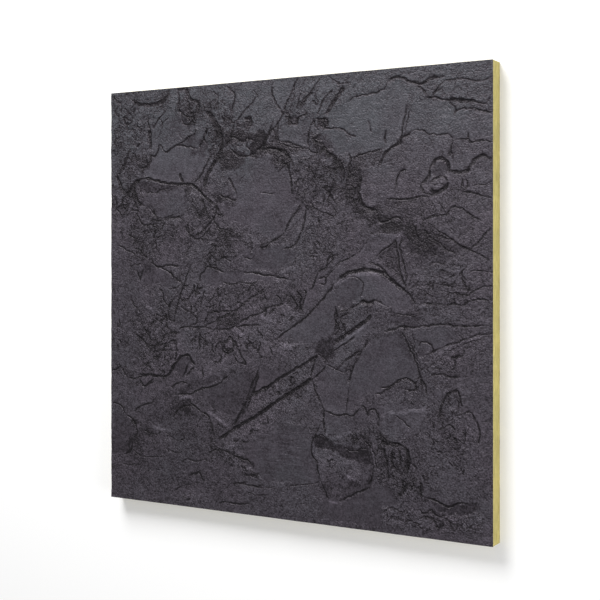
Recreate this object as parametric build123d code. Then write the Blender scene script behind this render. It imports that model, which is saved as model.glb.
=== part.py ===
from build123d import *

import math
import os

# Lay-in ceiling tile: a cut board of glass wool with an embossed slate-look sheet bonded to its face.
# The tile lies on its back. The origin is the middle of its back, +Z is the way its face looks,
# +X is to the right of the relief and +Y to the top of it. All sizes are in millimetres.

# Driving dimensions
tile_side = 603.0  # square tile for a 24 inch grid
tile_thickness = 25.4
facing_thickness = 1.6  # embossed sheet, at the highest level of its relief

# Depths of the relief, all below the sheet's highest level
crack_depth = 0.8
flake_depth = 0.5  # where one thin flake of slate has come away
hollow_depth = 0.9  # where several have
thumb_depth = 0.5  # the round dishes on the right

# Shape of the relief's edges
crack_width = 4.0
crack_tip = 0.15  # width and depth of a crack at its ends, as a share of the full size
scarp_run = 0.8  # how far a broken edge slopes in on its way down
cutter_rise = 0.5  # how far a cutter stands proud of the face, as a share of its depth
sections_per_point = 2  # cross-sections along a crack for each point of its line

core_thickness = tile_thickness - facing_thickness
past_edge = tile_side / 2 + crack_width  # where a crack that runs off the tile ends

# Cracks between the sheets of slate, as points of smooth lines on the face
cracks = {
    "arch": [(-20, -57), (5, -43), (40, -18), (72, 17), (100, 36), (140, 39), (168, 22), (198, -3)],
    "splinter_lower": [(-108, -202), (-60, -172), (-10, -141), (20, -121), (45, -106)],
    "splinter_upper": [(-52, -133), (-20, -118), (15, -96), (48, -76)],
    "splinter_tip": [(78, -57), (100, -42), (134, -20)],
    "splinter_end": [(-38, -94), (-48, -112), (-62, -142), (-86, -184)],
    "blade": [(176, -37), (190, -66), (198, -82), (207, -118)],
    "blade_root": [(140, -48), (120, -66), (100, -92), (98, -112), (96, -150)],
    "jar_shoulder": [(44, -106), (50, -125), (62, -147), (61, -165), (66, -181), (80, -186), (104, -178)],
    "jar_rim": [(63, -148), (86, -153), (103, -152), (118, -139)],
    "jar_side": [(58, -168), (48, -184), (43, -203), (51, -222), (57, -240)],
    "right_edge": [(205, -70), (235, -57), (260, -48), (285, -40), (past_edge, -38)],
    "ridge_right": [(142, 172), (155, 192), (175, 205), (195, 220), (225, 213), (255, 204), (past_edge, 200)],
    "top_right": [(100, 262), (125, 269), (150, 273), (176, 288), (204, 279), (238, 285), (past_edge, 278)],
    "sheet_left_lower": [(-258, 155), (-242, 170), (-205, 164), (-155, 163), (-134, 182), (-124, 195)],
    "sheet_left_upper": [(-238, 187), (-226, 198), (-211, 219), (-200, 211), (-170, 221), (-146, 232)],
    "middle": [(28, 135), (12, 108), (-2, 90), (-20, 78), (-38, 70)],
    "middle_left": [(-132, -38), (-120, -20), (-90, -19), (-65, -8), (-40, 5)],
    "long_left": [(-178, -48), (-150, -44), (-100, -45), (-60, -38), (-36, -37)],
    "lower_left": [(-185, -143), (-152, -138), (-120, -126), (-90, -108), (-75, -100)],
    "left_twig": [(-156, 47), (-165, 25), (-178, -15), (-180, -30)],
    "top_fork": [(24, past_edge), (10, 274), (-2, 252), (-14, 234), (-34, 214)],
    "bowl_left": [(184, 256), (176, 216), (162, 202)],
}

# Broken-out places, as corners of jagged outlines, with their depth
hollows = {
    "splinter_pit": (hollow_depth, [(49, -70), (53, -57), (61, -52), (68, -54), (74, -47), (80, -57),
                                    (77, -66), (80, -77), (71, -79), (65, -84), (58, -78)]),
    "jar_bowl": (flake_depth, [(48, -190), (62, -186), (76, -194), (98, -199), (120, -194), (132, -202),
                               (136, -226), (131, -244), (108, -252), (84, -262), (64, -240), (52, -216)]),
    "blade_fan": (flake_depth, [(142, 60), (169, 77), (172, 50), (181, 22), (160, 34), (146, 46)]),
    "left_knot": (hollow_depth, [(-56, 207), (-47, 219), (-36, 222), (-30, 216), (-37, 210), (-39, 201),
                                 (-50, 197)]),
    "lens": (flake_depth, [(-34, 204), (-12, 214), (10, 208), (34, 203), (8, 199), (-16, 200)]),
    "ridge_wedge": (flake_depth, [(106, 189), (150, 197), (142, 176), (128, 172), (112, 178)]),
}

# Round thumb-like dishes on the right, as centre and radius
thumbs = {"thumb": ((230, 168), 12.0), "thumb_edge": ((288, 170), 11.0)}


def crack_cutter(points):
    """A V-shaped trough along a smooth line, full size in its middle and fine at its two ends."""
    line = Spline(*[(x, y, 0) for x, y in points])
    steps = sections_per_point * len(points)
    sections = []
    for step in range(steps + 1):
        along = step / steps
        share = crack_tip + (1 - crack_tip) * math.sqrt(math.sin(math.pi * along))
        heading = line % along
        across = Plane(origin=line @ along, x_dir=(-heading.Y, heading.X, 0), z_dir=heading)
        depth = share * crack_depth
        rise = cutter_rise * depth
        half_width = share * (1 + cutter_rise) * crack_width / 2
        trough = Polyline((-half_width, rise), (0, -depth), (half_width, rise), close=True)
        sections.append(across * make_face(trough))
    return loft(sections, ruled=True)


def hollow_cutter(depth, corners):
    """A flat-bottomed hollow with sloping sides, for one jagged outline at the face's level."""
    outline = make_face(Polyline(*corners, close=True))
    floor = offset(outline, amount=-scarp_run, kind=Kind.INTERSECTION)
    lip = offset(outline, amount=cutter_rise * scarp_run, kind=Kind.INTERSECTION)
    return loft([Pos(0, 0, -depth) * floor, Pos(0, 0, cutter_rise * depth) * lip])


def thumb_cutter(centre, radius):
    """A shallow dish: the part of a ball that reaches below the face."""
    ball = (radius**2 + thumb_depth**2) / (2 * thumb_depth)
    return Pos(centre[0], centre[1], ball - thumb_depth) * Sphere(ball)


def glass_wool_core():
    """The board, cut square on all four sides."""
    return Box(tile_side, tile_side, core_thickness, align=(Align.CENTER, Align.CENTER, Align.MIN))


def embossed_facing():
    """The sheet on the board's face, trimmed flush with it, with the cleft relief pressed into it."""
    sheet = Box(tile_side, tile_side, facing_thickness, align=(Align.CENTER, Align.CENTER, Align.MAX))
    for depth, corners in hollows.values():
        sheet -= hollow_cutter(depth, corners)
    for centre, radius in thumbs.values():
        sheet -= thumb_cutter(centre, radius)
    for points in cracks.values():
        sheet -= crack_cutter(points)
    return Pos(0, 0, tile_thickness) * sheet


os.makedirs("parts", exist_ok=True)
for name, piece in {
    "glass_wool_core": glass_wool_core(),
    "embossed_facing": embossed_facing(),
}.items():
    export_step(piece, f"parts/{name}.step")
    print(name, "solids", len(piece.solids()), "volume", round(piece.volume, 1))
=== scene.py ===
import math

import bpy
import numpy as np
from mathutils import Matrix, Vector


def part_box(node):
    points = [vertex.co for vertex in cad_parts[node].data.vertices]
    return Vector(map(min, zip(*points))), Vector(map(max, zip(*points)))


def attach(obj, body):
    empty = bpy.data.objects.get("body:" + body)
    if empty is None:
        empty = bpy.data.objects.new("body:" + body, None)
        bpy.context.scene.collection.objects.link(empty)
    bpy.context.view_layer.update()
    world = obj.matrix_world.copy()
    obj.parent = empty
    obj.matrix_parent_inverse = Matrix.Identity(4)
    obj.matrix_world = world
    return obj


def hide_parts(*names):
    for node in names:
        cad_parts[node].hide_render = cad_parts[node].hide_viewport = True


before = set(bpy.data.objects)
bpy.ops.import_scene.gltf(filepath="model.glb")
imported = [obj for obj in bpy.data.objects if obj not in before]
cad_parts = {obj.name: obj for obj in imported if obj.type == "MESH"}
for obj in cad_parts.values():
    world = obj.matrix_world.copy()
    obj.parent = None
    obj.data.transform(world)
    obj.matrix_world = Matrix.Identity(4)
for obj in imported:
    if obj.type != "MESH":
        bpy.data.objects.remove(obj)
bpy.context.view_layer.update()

mm = 0.001

# Embossed facing: relief
# A thin charcoal sheet with a deep slate grain pressed into it, laminated to the face of the board
# and trimmed flush with it. Its relief is cracks and ledges between thin sheets of stone, broken-out
# patches, and a fine cleft grain. Places on it are in millimetres from the middle of the face.
facing_low, facing_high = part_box("embossed_facing")
half_side = facing_high.x / mm
sheet_thickness = (facing_high.z - facing_low.z) / mm
cells = 308  # squares of the mesh along each side
samples_per_cell = 3  # the relief is worked out on a finer grid than the mesh
samples = cells * samples_per_cell + 1
sample_step = 2 * half_side / (samples - 1)
axis = np.linspace(-half_side, half_side, samples)
across, up = np.meshgrid(axis, axis)
rng = np.random.default_rng(20)


def turned(x, y, turn):
    """Places measured along a line at turn degrees from +X, and square to it on its left."""
    cosine, sine = math.cos(math.radians(turn)), math.sin(math.radians(turn))
    return x * cosine + y * sine, y * cosine - x * sine


def weighted_noise(weight):
    """Random values with a spread of 1: white noise in which each wave is multiplied by its weight."""
    field = np.fft.ifft2(np.fft.fft2(rng.standard_normal(weight.shape)) * weight).real
    return field / field.std()


def cleft_noise(longest, shortest, stretch=1.0, turn=0.0, falloff=1.0):
    """Random relief of which only the waves between the two lengths, in mm, are kept, each weighted by its
    length to the power of the falloff. Waves run stretch times longer in the direction at turn degrees
    from +X than across it."""
    along_x, along_y = np.meshgrid(np.fft.fftfreq(samples, sample_step), np.fft.fftfreq(samples, sample_step))
    forward, sideways = turned(along_x, along_y, turn)
    frequency = np.hypot(forward * stretch, sideways)
    frequency[0, 0] = 1
    weight = frequency**-falloff
    weight *= np.exp(-((frequency * shortest) ** 4)) * (1 - np.exp(-((frequency * longest) ** 4)))
    return weighted_noise(weight)


def soften(field, times):
    """Every value becomes a quarter of each neighbour and half of itself, along x and then along y."""
    for _ in range(times):
        padded = np.pad(field, 1, mode="edge")
        field = (padded[1:-1, :-2] + 2 * padded[1:-1, 1:-1] + padded[1:-1, 2:]) / 4
        padded = np.pad(field, 1, mode="edge")
        field = (padded[:-2, 1:-1] + 2 * padded[1:-1, 1:-1] + padded[2:, 1:-1]) / 4
    return field


def smooth_step(low, high, value):
    """0 below low, 1 above high, and 3t² - 2t³ between them."""
    t = np.clip((value - low) / (high - low), 0, 1)
    return t * t * (3 - 2 * t)


# Kinds of line on the face: width and depth of its groove in mm, and how much higher the stone stands
# on the left of the line, going along it, than on the right. A lip is a low crest and not a groove, and
# the material paints its crest paler: a painted highlight.
line_kinds = {
    "hairline": (1.8, 0.46, 0.0),
    "crack": (2.5, 0.65, 0.0),
    "gash": (4.8, 1.0, 0.0),
    "ledge": (2.6, 0.60, 0.55),
    "cliff": (3.7, 0.85, 0.85),
    "drop": (2.6, 0.60, -0.55),
    "lip": (4.5, -0.30, 0.0),
}

# The lines, in groups by the form or the part of the face that they belong to, as points of smooth curves
lines = {
    "arch": [
        ("hairline", [(63, 31), (72, 39), (82, 46), (90, 52), (100, 55), (112, 62)]),
        ("crack", [(80, -8), (82, -20), (80, -34), (76, -48)]),
        ("hairline", [(66, 29), (70, 35), (76, 40)]),
        ("hairline", [(67, 46), (73, 50), (77, 56), (72, 57), (68, 52)]),
        ("gash", [(118, -1), (127, -3), (137, -2)]),
        ("crack", [(-20, -57), (-10, -55), (0, -47), (20, -34), (40, -20), (55, -5), (70, 10), (80, 24)]),
        ("gash", [(80, 24), (95, 34), (110, 38), (122, 40), (140, 39), (152, 35), (168, 23), (182, 12)]),
        ("crack", [(168, 23), (182, 14), (190, 6), (198, -3)]),
        ("lip", [(78, 16), (92, 27), (108, 32), (122, 34), (138, 33), (148, 30)]),
        ("hairline", [(82, 18), (95, 29), (112, 30), (121, 22), (120, 10), (116, 2)]),
        ("crack", [(82, -14), (90, -15), (105, -10), (120, -2), (128, -3), (140, 0), (155, -6)]),
        ("hairline", [(66, 32), (80, 42), (90, 52), (100, 56), (115, 63), (125, 75), (133, 84)]),
        ("lip", [(133, 84), (150, 86), (165, 84), (180, 86)]),
        ("crack", [(38, 10), (45, 16), (49, 28), (56, 38), (66, 43), (68, 55), (75, 60)]),
        ("crack", [(28, 16), (35, 7), (31, -2), (27, -16)]),
        ("crack", [(54, 27), (62, 30), (66, 28), (62, 20), (56, 22)]),
    ],
    "blade_fan": [
        ("hairline", [(186, 20), (191, 29), (195, 37)]),
        ("hairline", [(190, 14), (197, 23), (203, 27)]),
        ("lip", [(198, -11), (204, -6), (213, -3)]),
        ("crack", [(130, 50), (148, 43), (160, 30)]),
        ("ledge", [(142, 60), (155, 68), (170, 79)]),
        ("crack", [(169, 79), (171, 64), (173, 50), (176, 35), (182, 20)]),
        ("crack", [(178, 84), (175, 66), (181, 45), (184, 30), (180, 18)]),
    ],
    "blade": [
        ("hairline", [(192, -38), (194, -52), (196, -66)]),
        ("crack", [(240, -29), (262, -30), (288, -28)]),
        ("lip", [(226, -66), (244, -58), (266, -49)]),
        ("crack", [(201, -59), (205, -51), (215, -53), (222, -59), (219, -66)]),
        ("crack", [(176, -37), (186, -55), (195, -72), (200, -85), (204, -100), (207, -118)]),
        ("hairline", [(184, -42), (192, -58), (201, -76), (206, -90)]),
        ("crack", [(148, -40), (160, -38), (178, -33), (200, -33), (212, -31), (240, -28), (253, -33)]),
        ("hairline", [(168, -16), (180, -18), (196, -17)]),
        ("crack", [(205, -98), (210, -108), (212, -120)]),
        ("hairline", [(205, -100), (198, -115)]),
        ("ledge", [(133, -48), (120, -65), (112, -80), (104, -95), (101, -110)]),
        ("hairline", [(101, -110), (98, -130), (97, -150)]),
        ("crack", [(83, -93), (95, -80), (118, -66)]),
    ],
    "splinter": [
        ("gash", [(-54, -134), (-44, -131), (-32, -125), (-18, -117)]),
        ("crack", [(42, -104), (45, -94), (48, -84), (51, -73)]),
        ("gash", [(-110, -202), (-95, -193), (-80, -183), (-60, -172), (-40, -160), (-20, -147)]),
        ("gash", [(-42, -161), (-20, -147), (0, -134), (20, -122), (46, -106)]),
        ("cliff", [(-53, -134), (-35, -127), (-20, -118), (0, -105), (28, -90), (45, -80), (56, -74)]),
        ("crack", [(-38, -92), (-45, -108), (-52, -120), (-60, -140), (-70, -160), (-85, -183)]),
        ("crack", [(-40, -104), (-46, -120), (-54, -138), (-62, -156)]),
        ("hairline", [(0, -107), (10, -106), (22, -112)]),
        ("gash", [(78, -57), (95, -46), (110, -37), (134, -20)]),
        ("lip", [(82, -62), (98, -51), (114, -41), (134, -27)]),
        ("crack", [(75, -70), (92, -59), (110, -48)]),
        ("crack", [(82, -12), (78, -24), (84, -36), (78, -48)]),
        ("lip", [(-10, -60), (0, -64), (10, -67), (20, -63), (28, -60)]),
    ],
    "jar": [
        ("lip", [(68, -268), (79, -271), (92, -270)]),
        ("crack", [(44, -106), (50, -125), (60, -142), (63, -148)]),
        ("crack", [(63, -146), (62, -158), (62, -166), (65, -181)]),
        ("lip", [(64, -177), (70, -184), (84, -184), (96, -178), (108, -172)]),
        ("ledge", [(62, -148), (75, -151), (87, -154), (95, -150), (103, -153), (110, -150), (117, -139)]),
        ("crack", [(117, -139), (123, -140), (128, -150), (132, -143), (140, -143), (144, -152),
                   (143, -165)]),
        ("ledge", [(58, -165), (52, -178), (46, -188), (43, -200), (45, -210), (51, -218), (53, -230),
                   (57, -244)]),
        ("hairline", [(48, -187), (55, -182), (63, -183), (70, -190)]),
        ("hairline", [(92, -196), (108, -199), (118, -195), (128, -195)]),
        ("crack", [(116, -172), (122, -181), (129, -189), (134, -202), (136, -216), (135, -230),
                   (128, -242)]),
        ("hairline", [(124, -176), (131, -186), (138, -200), (140, -214), (139, -228)]),
        ("lip", [(131, -192), (135, -204), (137, -218), (135, -234)]),
        ("lip", [(92, -229), (100, -235), (112, -238), (124, -243)]),
        ("ledge", [(84, -268), (100, -260), (118, -251), (134, -244)]),
        ("hairline", [(57, -241), (63, -255), (71, -268)]),
        ("crack", [(66, -90), (56, -98), (47, -106)]),
        ("hairline", [(66, -86), (80, -92), (92, -96), (104, -90)]),
        ("crack", [(142, -165), (150, -178), (165, -184), (178, -186), (184, -192), (185, -205),
                   (185, -220)]),
    ],
    "lower_right": [
        ("crack", [(165, -107), (172, -102), (184, -100), (194, -103), (197, -113), (190, -114),
                   (181, -110)]),
        ("crack", [(228, -146), (234, -128), (240, -118), (247, -112), (255, -112)]),
        ("crack", [(255, -110), (258, -122), (262, -132)]),
        ("gash", [(184, -189), (187, -202), (185, -217)]),
        ("lip", [(148, -152), (158, -147), (168, -144)]),
        ("crack", [(203, -225), (204, -238), (205, -251)]),
        ("crack", [(146, -114), (158, -112), (170, -104)]),
        ("crack", [(196, -106), (201, -98), (206, -96)]),
        ("crack", [(262, -140), (271, -137), (278, -146)]),
        ("hairline", [(243, -176), (254, -172), (264, -178)]),
        ("hairline", [(155, -288), (166, -280), (182, -284)]),
        ("hairline", [(181, -111), (181, -128), (174, -134)]),
        ("crack", [(229, -143), (233, -128), (242, -117), (255, -112), (257, -124), (255, -134)]),
        ("hairline", [(168, -147), (182, -157), (191, -164)]),
        ("gash", [(147, -184), (162, -186), (178, -185)]),
        ("crack", [(150, -192), (155, -205), (158, -220)]),
        ("crack", [(166, -190), (162, -204), (165, -218)]),
        ("crack", [(173, -190), (176, -204), (172, -220)]),
        ("hairline", [(180, -196), (182, -210), (178, -226)]),
        ("ledge", [(208, -250), (225, -252), (242, -259), (255, -252), (271, -252)]),
        ("crack", [(202, -263), (208, -271), (219, -265), (229, -273), (240, -269)]),
        ("ledge", [(138, -122), (150, -119), (160, -113), (172, -104), (180, -101), (192, -102),
                   (196, -108)]),
        ("lip", [(168, -146), (185, -142), (200, -140), (216, -139)]),
        ("crack", [(228, -163), (238, -157), (245, -155), (252, -162)]),
        ("hairline", [(252, -118), (256, -130), (250, -142)]),
        ("crack", [(275, -142), (281, -150), (284, -160), (283, -176)]),
        ("hairline", [(218, -252), (235, -256), (250, -258)]),
        ("hairline", [(205, -232), (207, -242), (204, -254)]),
        ("crack", [(218, -93), (232, -91), (248, -95), (258, -94)]),
        ("hairline", [(212, -168), (222, -178), (219, -190)]),
        ("hairline", [(240, -170), (246, -182), (256, -186)]),
        ("hairline", [(262, -150), (266, -166), (262, -180)]),
        ("hairline", [(150, -275), (162, -268), (176, -272)]),
        ("hairline", [(196, -280), (214, -274), (232, -279)]),
    ],
    "right": [
        ("hairline", [(236, 8), (252, 12), (268, 9), (280, 16), (292, 21), (301, 22)]),
        ("lip", [(232, -61), (250, -54), (270, -47), (290, -40)]),
        ("crack", [(222, 94), (236, 86), (250, 77), (268, 65)]),
        ("hairline", [(214, 82), (228, 76), (242, 66), (256, 62)]),
        ("hairline", [(190, 101), (198, 90), (200, 78)]),
        ("crack", [(199, -8), (205, -3), (218, -3), (240, -3), (252, -2), (262, -4), (270, 2), (284, 4),
                   (301, 4)]),
        ("ledge", [(205, -70), (220, -64), (235, -57), (260, -48), (285, -40), (301, -38)]),
        ("hairline", [(240, -62), (255, -56), (270, -50), (285, -45)]),
        ("crack", [(228, 84), (245, 78), (258, 72), (270, 66), (285, 60), (299, 52)]),
        ("crack", [(268, 64), (282, 75), (290, 85), (301, 94)]),
        ("hairline", [(232, 70), (245, 64), (254, 60)]),
        ("ledge", [(206, 101), (218, 108), (240, 111), (247, 119), (258, 119), (270, 111), (286, 102)]),
        ("hairline", [(270, 11), (285, 18), (301, 22)]),
        ("hairline", [(206, 20), (222, 24), (240, 21), (254, 26)]),
        ("hairline", [(214, 46), (228, 50), (240, 46)]),
        ("hairline", [(262, 34), (280, 40), (301, 38)]),
    ],
    "top_right": [
        ("gash", [(242, 257), (256, 254), (276, 252)]),
        ("crack", [(200, 277), (208, 269), (214, 261), (222, 260)]),
        ("crack", [(222, 260), (225, 269), (236, 278)]),
        ("crack", [(269, 213), (269, 204)]),
        ("crack", [(246, 200), (245, 191), (242, 183)]),
        ("hairline", [(247, 191), (248, 178), (250, 170)]),
        ("crack", [(100, 262), (107, 267), (115, 269), (130, 270), (150, 275), (158, 284)]),
        ("cliff", [(157, 285), (165, 289), (177, 289), (186, 283), (195, 281), (206, 278), (214, 283),
                   (240, 286)]),
        ("crack", [(232, 279), (243, 281), (270, 279), (285, 276), (301, 280)]),
        ("ledge", [(212, 261), (225, 259), (235, 256), (245, 255), (275, 252), (290, 248), (301, 257)]),
        ("crack", [(220, 263), (228, 269), (236, 272)]),
        ("crack", [(243, 252), (251, 245), (250, 234)]),
        ("crack", [(250, 240), (262, 243), (280, 241), (301, 235)]),
        ("crack", [(185, 256), (182, 240), (179, 228), (177, 215), (174, 202)]),
        ("hairline", [(188, 246), (185, 230), (181, 213)]),
        ("cliff", [(142, 172), (148, 182), (153, 190), (162, 198), (172, 203), (178, 211), (186, 214),
                   (192, 220)]),
        ("ledge", [(190, 219), (200, 220), (210, 217), (218, 213), (240, 212), (247, 208), (253, 204)]),
        ("crack", [(252, 205), (268, 204), (273, 200), (286, 202), (301, 199)]),
        ("ledge", [(104, 188), (120, 192), (135, 195), (152, 197)]),
        ("hairline", [(243, 181), (246, 192), (248, 202)]),
        ("crack", [(155, 222), (153, 212), (155, 204)]),
        ("hairline", [(128, 236), (131, 228), (134, 220)]),
    ],
    "thumbs": [
        ("crack", [(259, 141), (261, 150), (266, 153), (268, 147), (263, 141)]),
        ("gash", [(216, 144), (224, 139), (234, 142), (242, 151)]),
        ("crack", [(208, 150), (214, 157), (217, 166), (219, 174), (225, 180)]),
        ("gash", [(219, 174), (225, 180), (233, 181), (240, 177), (243, 170), (243, 163)]),
        ("crack", [(216, 164), (210, 155), (204, 149), (208, 141), (217, 136), (227, 138), (238, 145),
                   (242, 153)]),
        ("crack", [(242, 153), (236, 158), (225, 157), (219, 152)]),
        ("hairline", [(221, 146), (229, 151), (236, 148)]),
        ("gash", [(244, 166), (256, 163), (266, 165), (274, 172), (280, 180), (289, 183), (301, 177)]),
        ("crack", [(168, 144), (170, 157), (175, 167), (185, 169)]),
        ("ledge", [(155, 133), (170, 132), (190, 132), (208, 135), (216, 131)]),
        ("ledge", [(258, 139), (275, 137), (290, 133), (301, 130)]),
        ("hairline", [(275, 147), (290, 147), (301, 151)]),
        ("hairline", [(260, 152), (264, 144), (270, 150)]),
        ("gash", [(118, 162), (115, 150), (115, 138), (120, 126), (129, 120), (141, 120)]),
        ("crack", [(140, 120), (143, 108), (148, 102), (158, 104), (170, 108), (182, 102)]),
    ],
    "top_middle": [
        ("crack", [(47, 240), (50, 232), (55, 227)]),
        ("crack", [(54, 243), (56, 235), (62, 230)]),
        ("crack", [(60, 241), (62, 234), (66, 229)]),
        ("gash", [(8, 248), (9, 239), (14, 238)]),
        ("crack", [(26, 261), (32, 267), (38, 273)]),
        ("hairline", [(-26, 216), (-10, 213), (2, 209), (14, 206), (30, 204)]),
        ("hairline", [(-14, 212), (-8, 204), (-4, 200)]),
        ("hairline", [(-2, 213), (6, 206), (12, 200)]),
        ("hairline", [(12, 210), (20, 204)]),
        ("crack", [(-14, 192), (-6, 186), (4, 183), (10, 176)]),
        ("crack", [(26, 279), (22, 266), (20, 257)]),
        ("hairline", [(24, 262), (30, 270), (37, 268)]),
        ("hairline", [(27, 257), (33, 264), (38, 261)]),
        ("crack", [(-9, 240), (-11, 228), (-9, 217)]),
        ("crack", [(-19, 235), (-14, 226), (-15, 217)]),
        ("crack", [(79, 193), (88, 182), (93, 169), (92, 156)]),
        ("crack", [(92, 143), (95, 150), (101, 152), (107, 149), (109, 142), (106, 136), (100, 134),
                   (94, 138)]),
        ("hairline", [(-20, 200), (-8, 192), (2, 184)]),
        ("crack", [(-2, 206), (6, 197), (12, 188), (16, 178)]),
        ("hairline", [(10, 188), (0, 181), (-8, 174)]),
        ("hairline", [(-38, 147), (-22, 144), (-12, 145)]),
        ("crack", [(-95, 298), (-87, 292), (-80, 283), (-82, 270), (-88, 258)]),
        ("crack", [(-98, 256), (-90, 250), (-80, 245), (-70, 255), (-55, 268), (-44, 280)]),
        ("crack", [(-80, 245), (-85, 235), (-88, 225), (-97, 210)]),
        ("hairline", [(-50, 290), (-45, 283), (-42, 276)]),
        ("crack", [(-18, 298), (-19, 284), (-15, 272), (-8, 262), (-2, 252)]),
        ("crack", [(22, 301), (15, 286), (8, 273), (2, 262), (-3, 250), (-10, 240), (-18, 232),
                   (-32, 218)]),
        ("crack", [(0, 256), (8, 250), (10, 240), (20, 237), (23, 246), (35, 250), (30, 256)]),
        ("crack", [(60, 299), (50, 290), (40, 277), (30, 268), (24, 258)]),
        ("hairline", [(68, 298), (78, 293), (88, 287), (105, 287)]),
        ("crack", [(78, 281), (70, 275), (62, 268), (57, 258), (52, 246)]),
        ("gash", [(94, 284), (84, 272), (74, 260), (66, 246)]),
        ("crack", [(50, 244), (59, 242), (68, 240), (67, 231)]),
        ("crack", [(52, 245), (43, 235), (39, 222), (38, 210), (42, 200), (56, 196)]),
        ("crack", [(64, 229), (80, 228), (92, 226), (100, 220), (112, 215)]),
        ("gash", [(56, 197), (64, 203), (68, 195), (78, 190), (83, 180), (90, 170)]),
        ("crack", [(42, 217), (52, 211), (60, 208), (66, 200)]),
        ("ledge", [(-12, 217), (10, 212), (36, 203)]),
        ("gash", [(-30, 205), (-12, 204), (2, 198), (8, 188)]),
        ("crack", [(-28, 220), (-22, 232), (-18, 244)]),
        ("crack", [(100, 196), (103, 186), (100, 172), (108, 162)]),
        ("crack", [(9, 188), (8, 176), (11, 163), (13, 150), (12, 140)]),
        ("crack", [(40, 132), (48, 123), (65, 116), (82, 110)]),
        ("hairline", [(65, 136), (76, 124), (85, 110)]),
        ("hairline", [(60, 152), (72, 140), (80, 128)]),
    ],
    "knot": [
        ("crack", [(-90, 211), (-81, 204), (-73, 198), (-56, 198), (-44, 202)]),
        ("gash", [(-65, 250), (-55, 249), (-54, 238)]),
        ("crack", [(-57, 221), (-60, 213), (-54, 205), (-50, 198)]),
        ("gash", [(-30, 222), (-34, 210), (-44, 204)]),
        ("crack", [(-48, 219), (-58, 221), (-68, 218), (-80, 224), (-90, 226)]),
        ("hairline", [(-82, 216), (-74, 212), (-66, 214)]),
        ("crack", [(-34, 204), (-24, 206), (-12, 204), (-4, 199)]),
        ("hairline", [(-62, 246), (-58, 238), (-50, 240)]),
        ("crack", [(-92, 170), (-85, 160), (-78, 148), (-76, 138)]),
        ("hairline", [(-74, 160), (-68, 168), (-62, 173)]),
        ("crack", [(-110, 145), (-96, 141), (-84, 137), (-77, 136)]),
    ],
    "sheet_left": [
        ("crack", [(-247, 186), (-237, 189), (-230, 196), (-227, 205)]),
        ("gash", [(-292, 180), (-285, 166), (-279, 152), (-270, 151), (-262, 161), (-248, 172)]),
        ("ledge", [(-240, 187), (-232, 190), (-226, 199), (-229, 207), (-219, 204), (-211, 220),
                   (-205, 212), (-198, 210), (-185, 217), (-170, 222), (-158, 230), (-146, 232)]),
        ("crack", [(-181, 219), (-166, 216), (-154, 214), (-144, 211)]),
        ("crack", [(-141, 212), (-135, 222), (-130, 232), (-127, 240)]),
        ("gash", [(-102, 226), (-102, 212), (-107, 202), (-115, 191), (-124, 179), (-130, 166),
                  (-133, 155)]),
        ("crack", [(-262, 150), (-256, 163), (-245, 172), (-225, 170)]),
        ("cliff", [(-236, 171), (-225, 170), (-205, 165), (-180, 162), (-155, 160), (-142, 153),
                   (-134, 145)]),
        ("cliff", [(-142, 152), (-133, 144), (-124, 137), (-112, 129), (-106, 121)]),
        ("crack", [(-150, 163), (-140, 171), (-132, 183), (-125, 195), (-118, 205)]),
        ("crack", [(-260, 156), (-256, 143), (-248, 134), (-238, 132)]),
        ("crack", [(-263, 160), (-270, 151), (-278, 143), (-286, 132), (-289, 126)]),
        ("crack", [(-257, 122), (-250, 115), (-246, 107), (-236, 103), (-217, 105)]),
        ("hairline", [(-227, 131), (-222, 123), (-216, 116)]),
        ("crack", [(-136, 141), (-131, 128), (-127, 116), (-122, 108)]),
        ("crack", [(-258, 155), (-254, 143), (-247, 136), (-240, 133)]),
        ("hairline", [(-237, 143), (-232, 152), (-220, 150), (-210, 155), (-195, 155)]),
        ("gash", [(-175, 178), (-173, 171), (-171, 164)]),
        ("crack", [(-232, 131), (-222, 120), (-212, 113), (-195, 115), (-182, 120)]),
        ("crack", [(-226, 111), (-205, 110), (-185, 114), (-170, 112)]),
        ("crack", [(-290, 175), (-283, 165), (-278, 154)]),
        ("crack", [(-292, 147), (-292, 130), (-285, 122), (-278, 120), (-270, 130), (-266, 138)]),
        ("hairline", [(-283, 140), (-272, 148), (-264, 158)]),
        ("hairline", [(-270, 150), (-264, 142), (-266, 132)]),
        ("crack", [(-110, 122), (-118, 110), (-128, 100), (-138, 92), (-150, 86)]),
        ("crack", [(-120, 117), (-114, 106), (-106, 98), (-92, 94)]),
    ],
    "top_left": [
        ("gash", [(-231, 243), (-229, 228), (-229, 214)]),
        ("crack", [(-176, 268), (-166, 260), (-157, 257), (-150, 262)]),
        ("crack", [(-124, 262), (-116, 255), (-108, 243), (-99, 236)]),
        ("crack", [(-298, 297), (-290, 288), (-283, 284), (-282, 270)]),
        ("gash", [(-262, 290), (-254, 284), (-240, 280), (-221, 280), (-208, 283), (-198, 289),
                  (-195, 300)]),
        ("gash", [(-180, 297), (-166, 299), (-161, 290), (-155, 282), (-145, 278), (-143, 269),
                  (-146, 261)]),
        ("crack", [(-146, 261), (-153, 252), (-164, 247), (-172, 255)]),
        ("crack", [(-179, 295), (-176, 284), (-179, 274), (-174, 265), (-170, 257)]),
        ("crack", [(-166, 288), (-161, 280), (-157, 271), (-153, 266)]),
        ("crack", [(-200, 269), (-210, 261), (-219, 250), (-223, 243)]),
        ("hairline", [(-195, 259), (-205, 252), (-211, 245)]),
        ("crack", [(-234, 266), (-231, 250), (-228, 238), (-227, 227)]),
        ("hairline", [(-266, 252), (-250, 249), (-238, 248)]),
        ("gash", [(-130, 264), (-120, 254), (-112, 244), (-106, 235), (-102, 225)]),
        ("crack", [(-144, 264), (-156, 263), (-160, 272)]),
        ("hairline", [(-214, 262), (-206, 250), (-210, 238), (-218, 228)]),
        ("hairline", [(-262, 246), (-254, 236), (-258, 224)]),
        ("crack", [(-126, 240), (-134, 228), (-128, 218)]),
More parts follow.
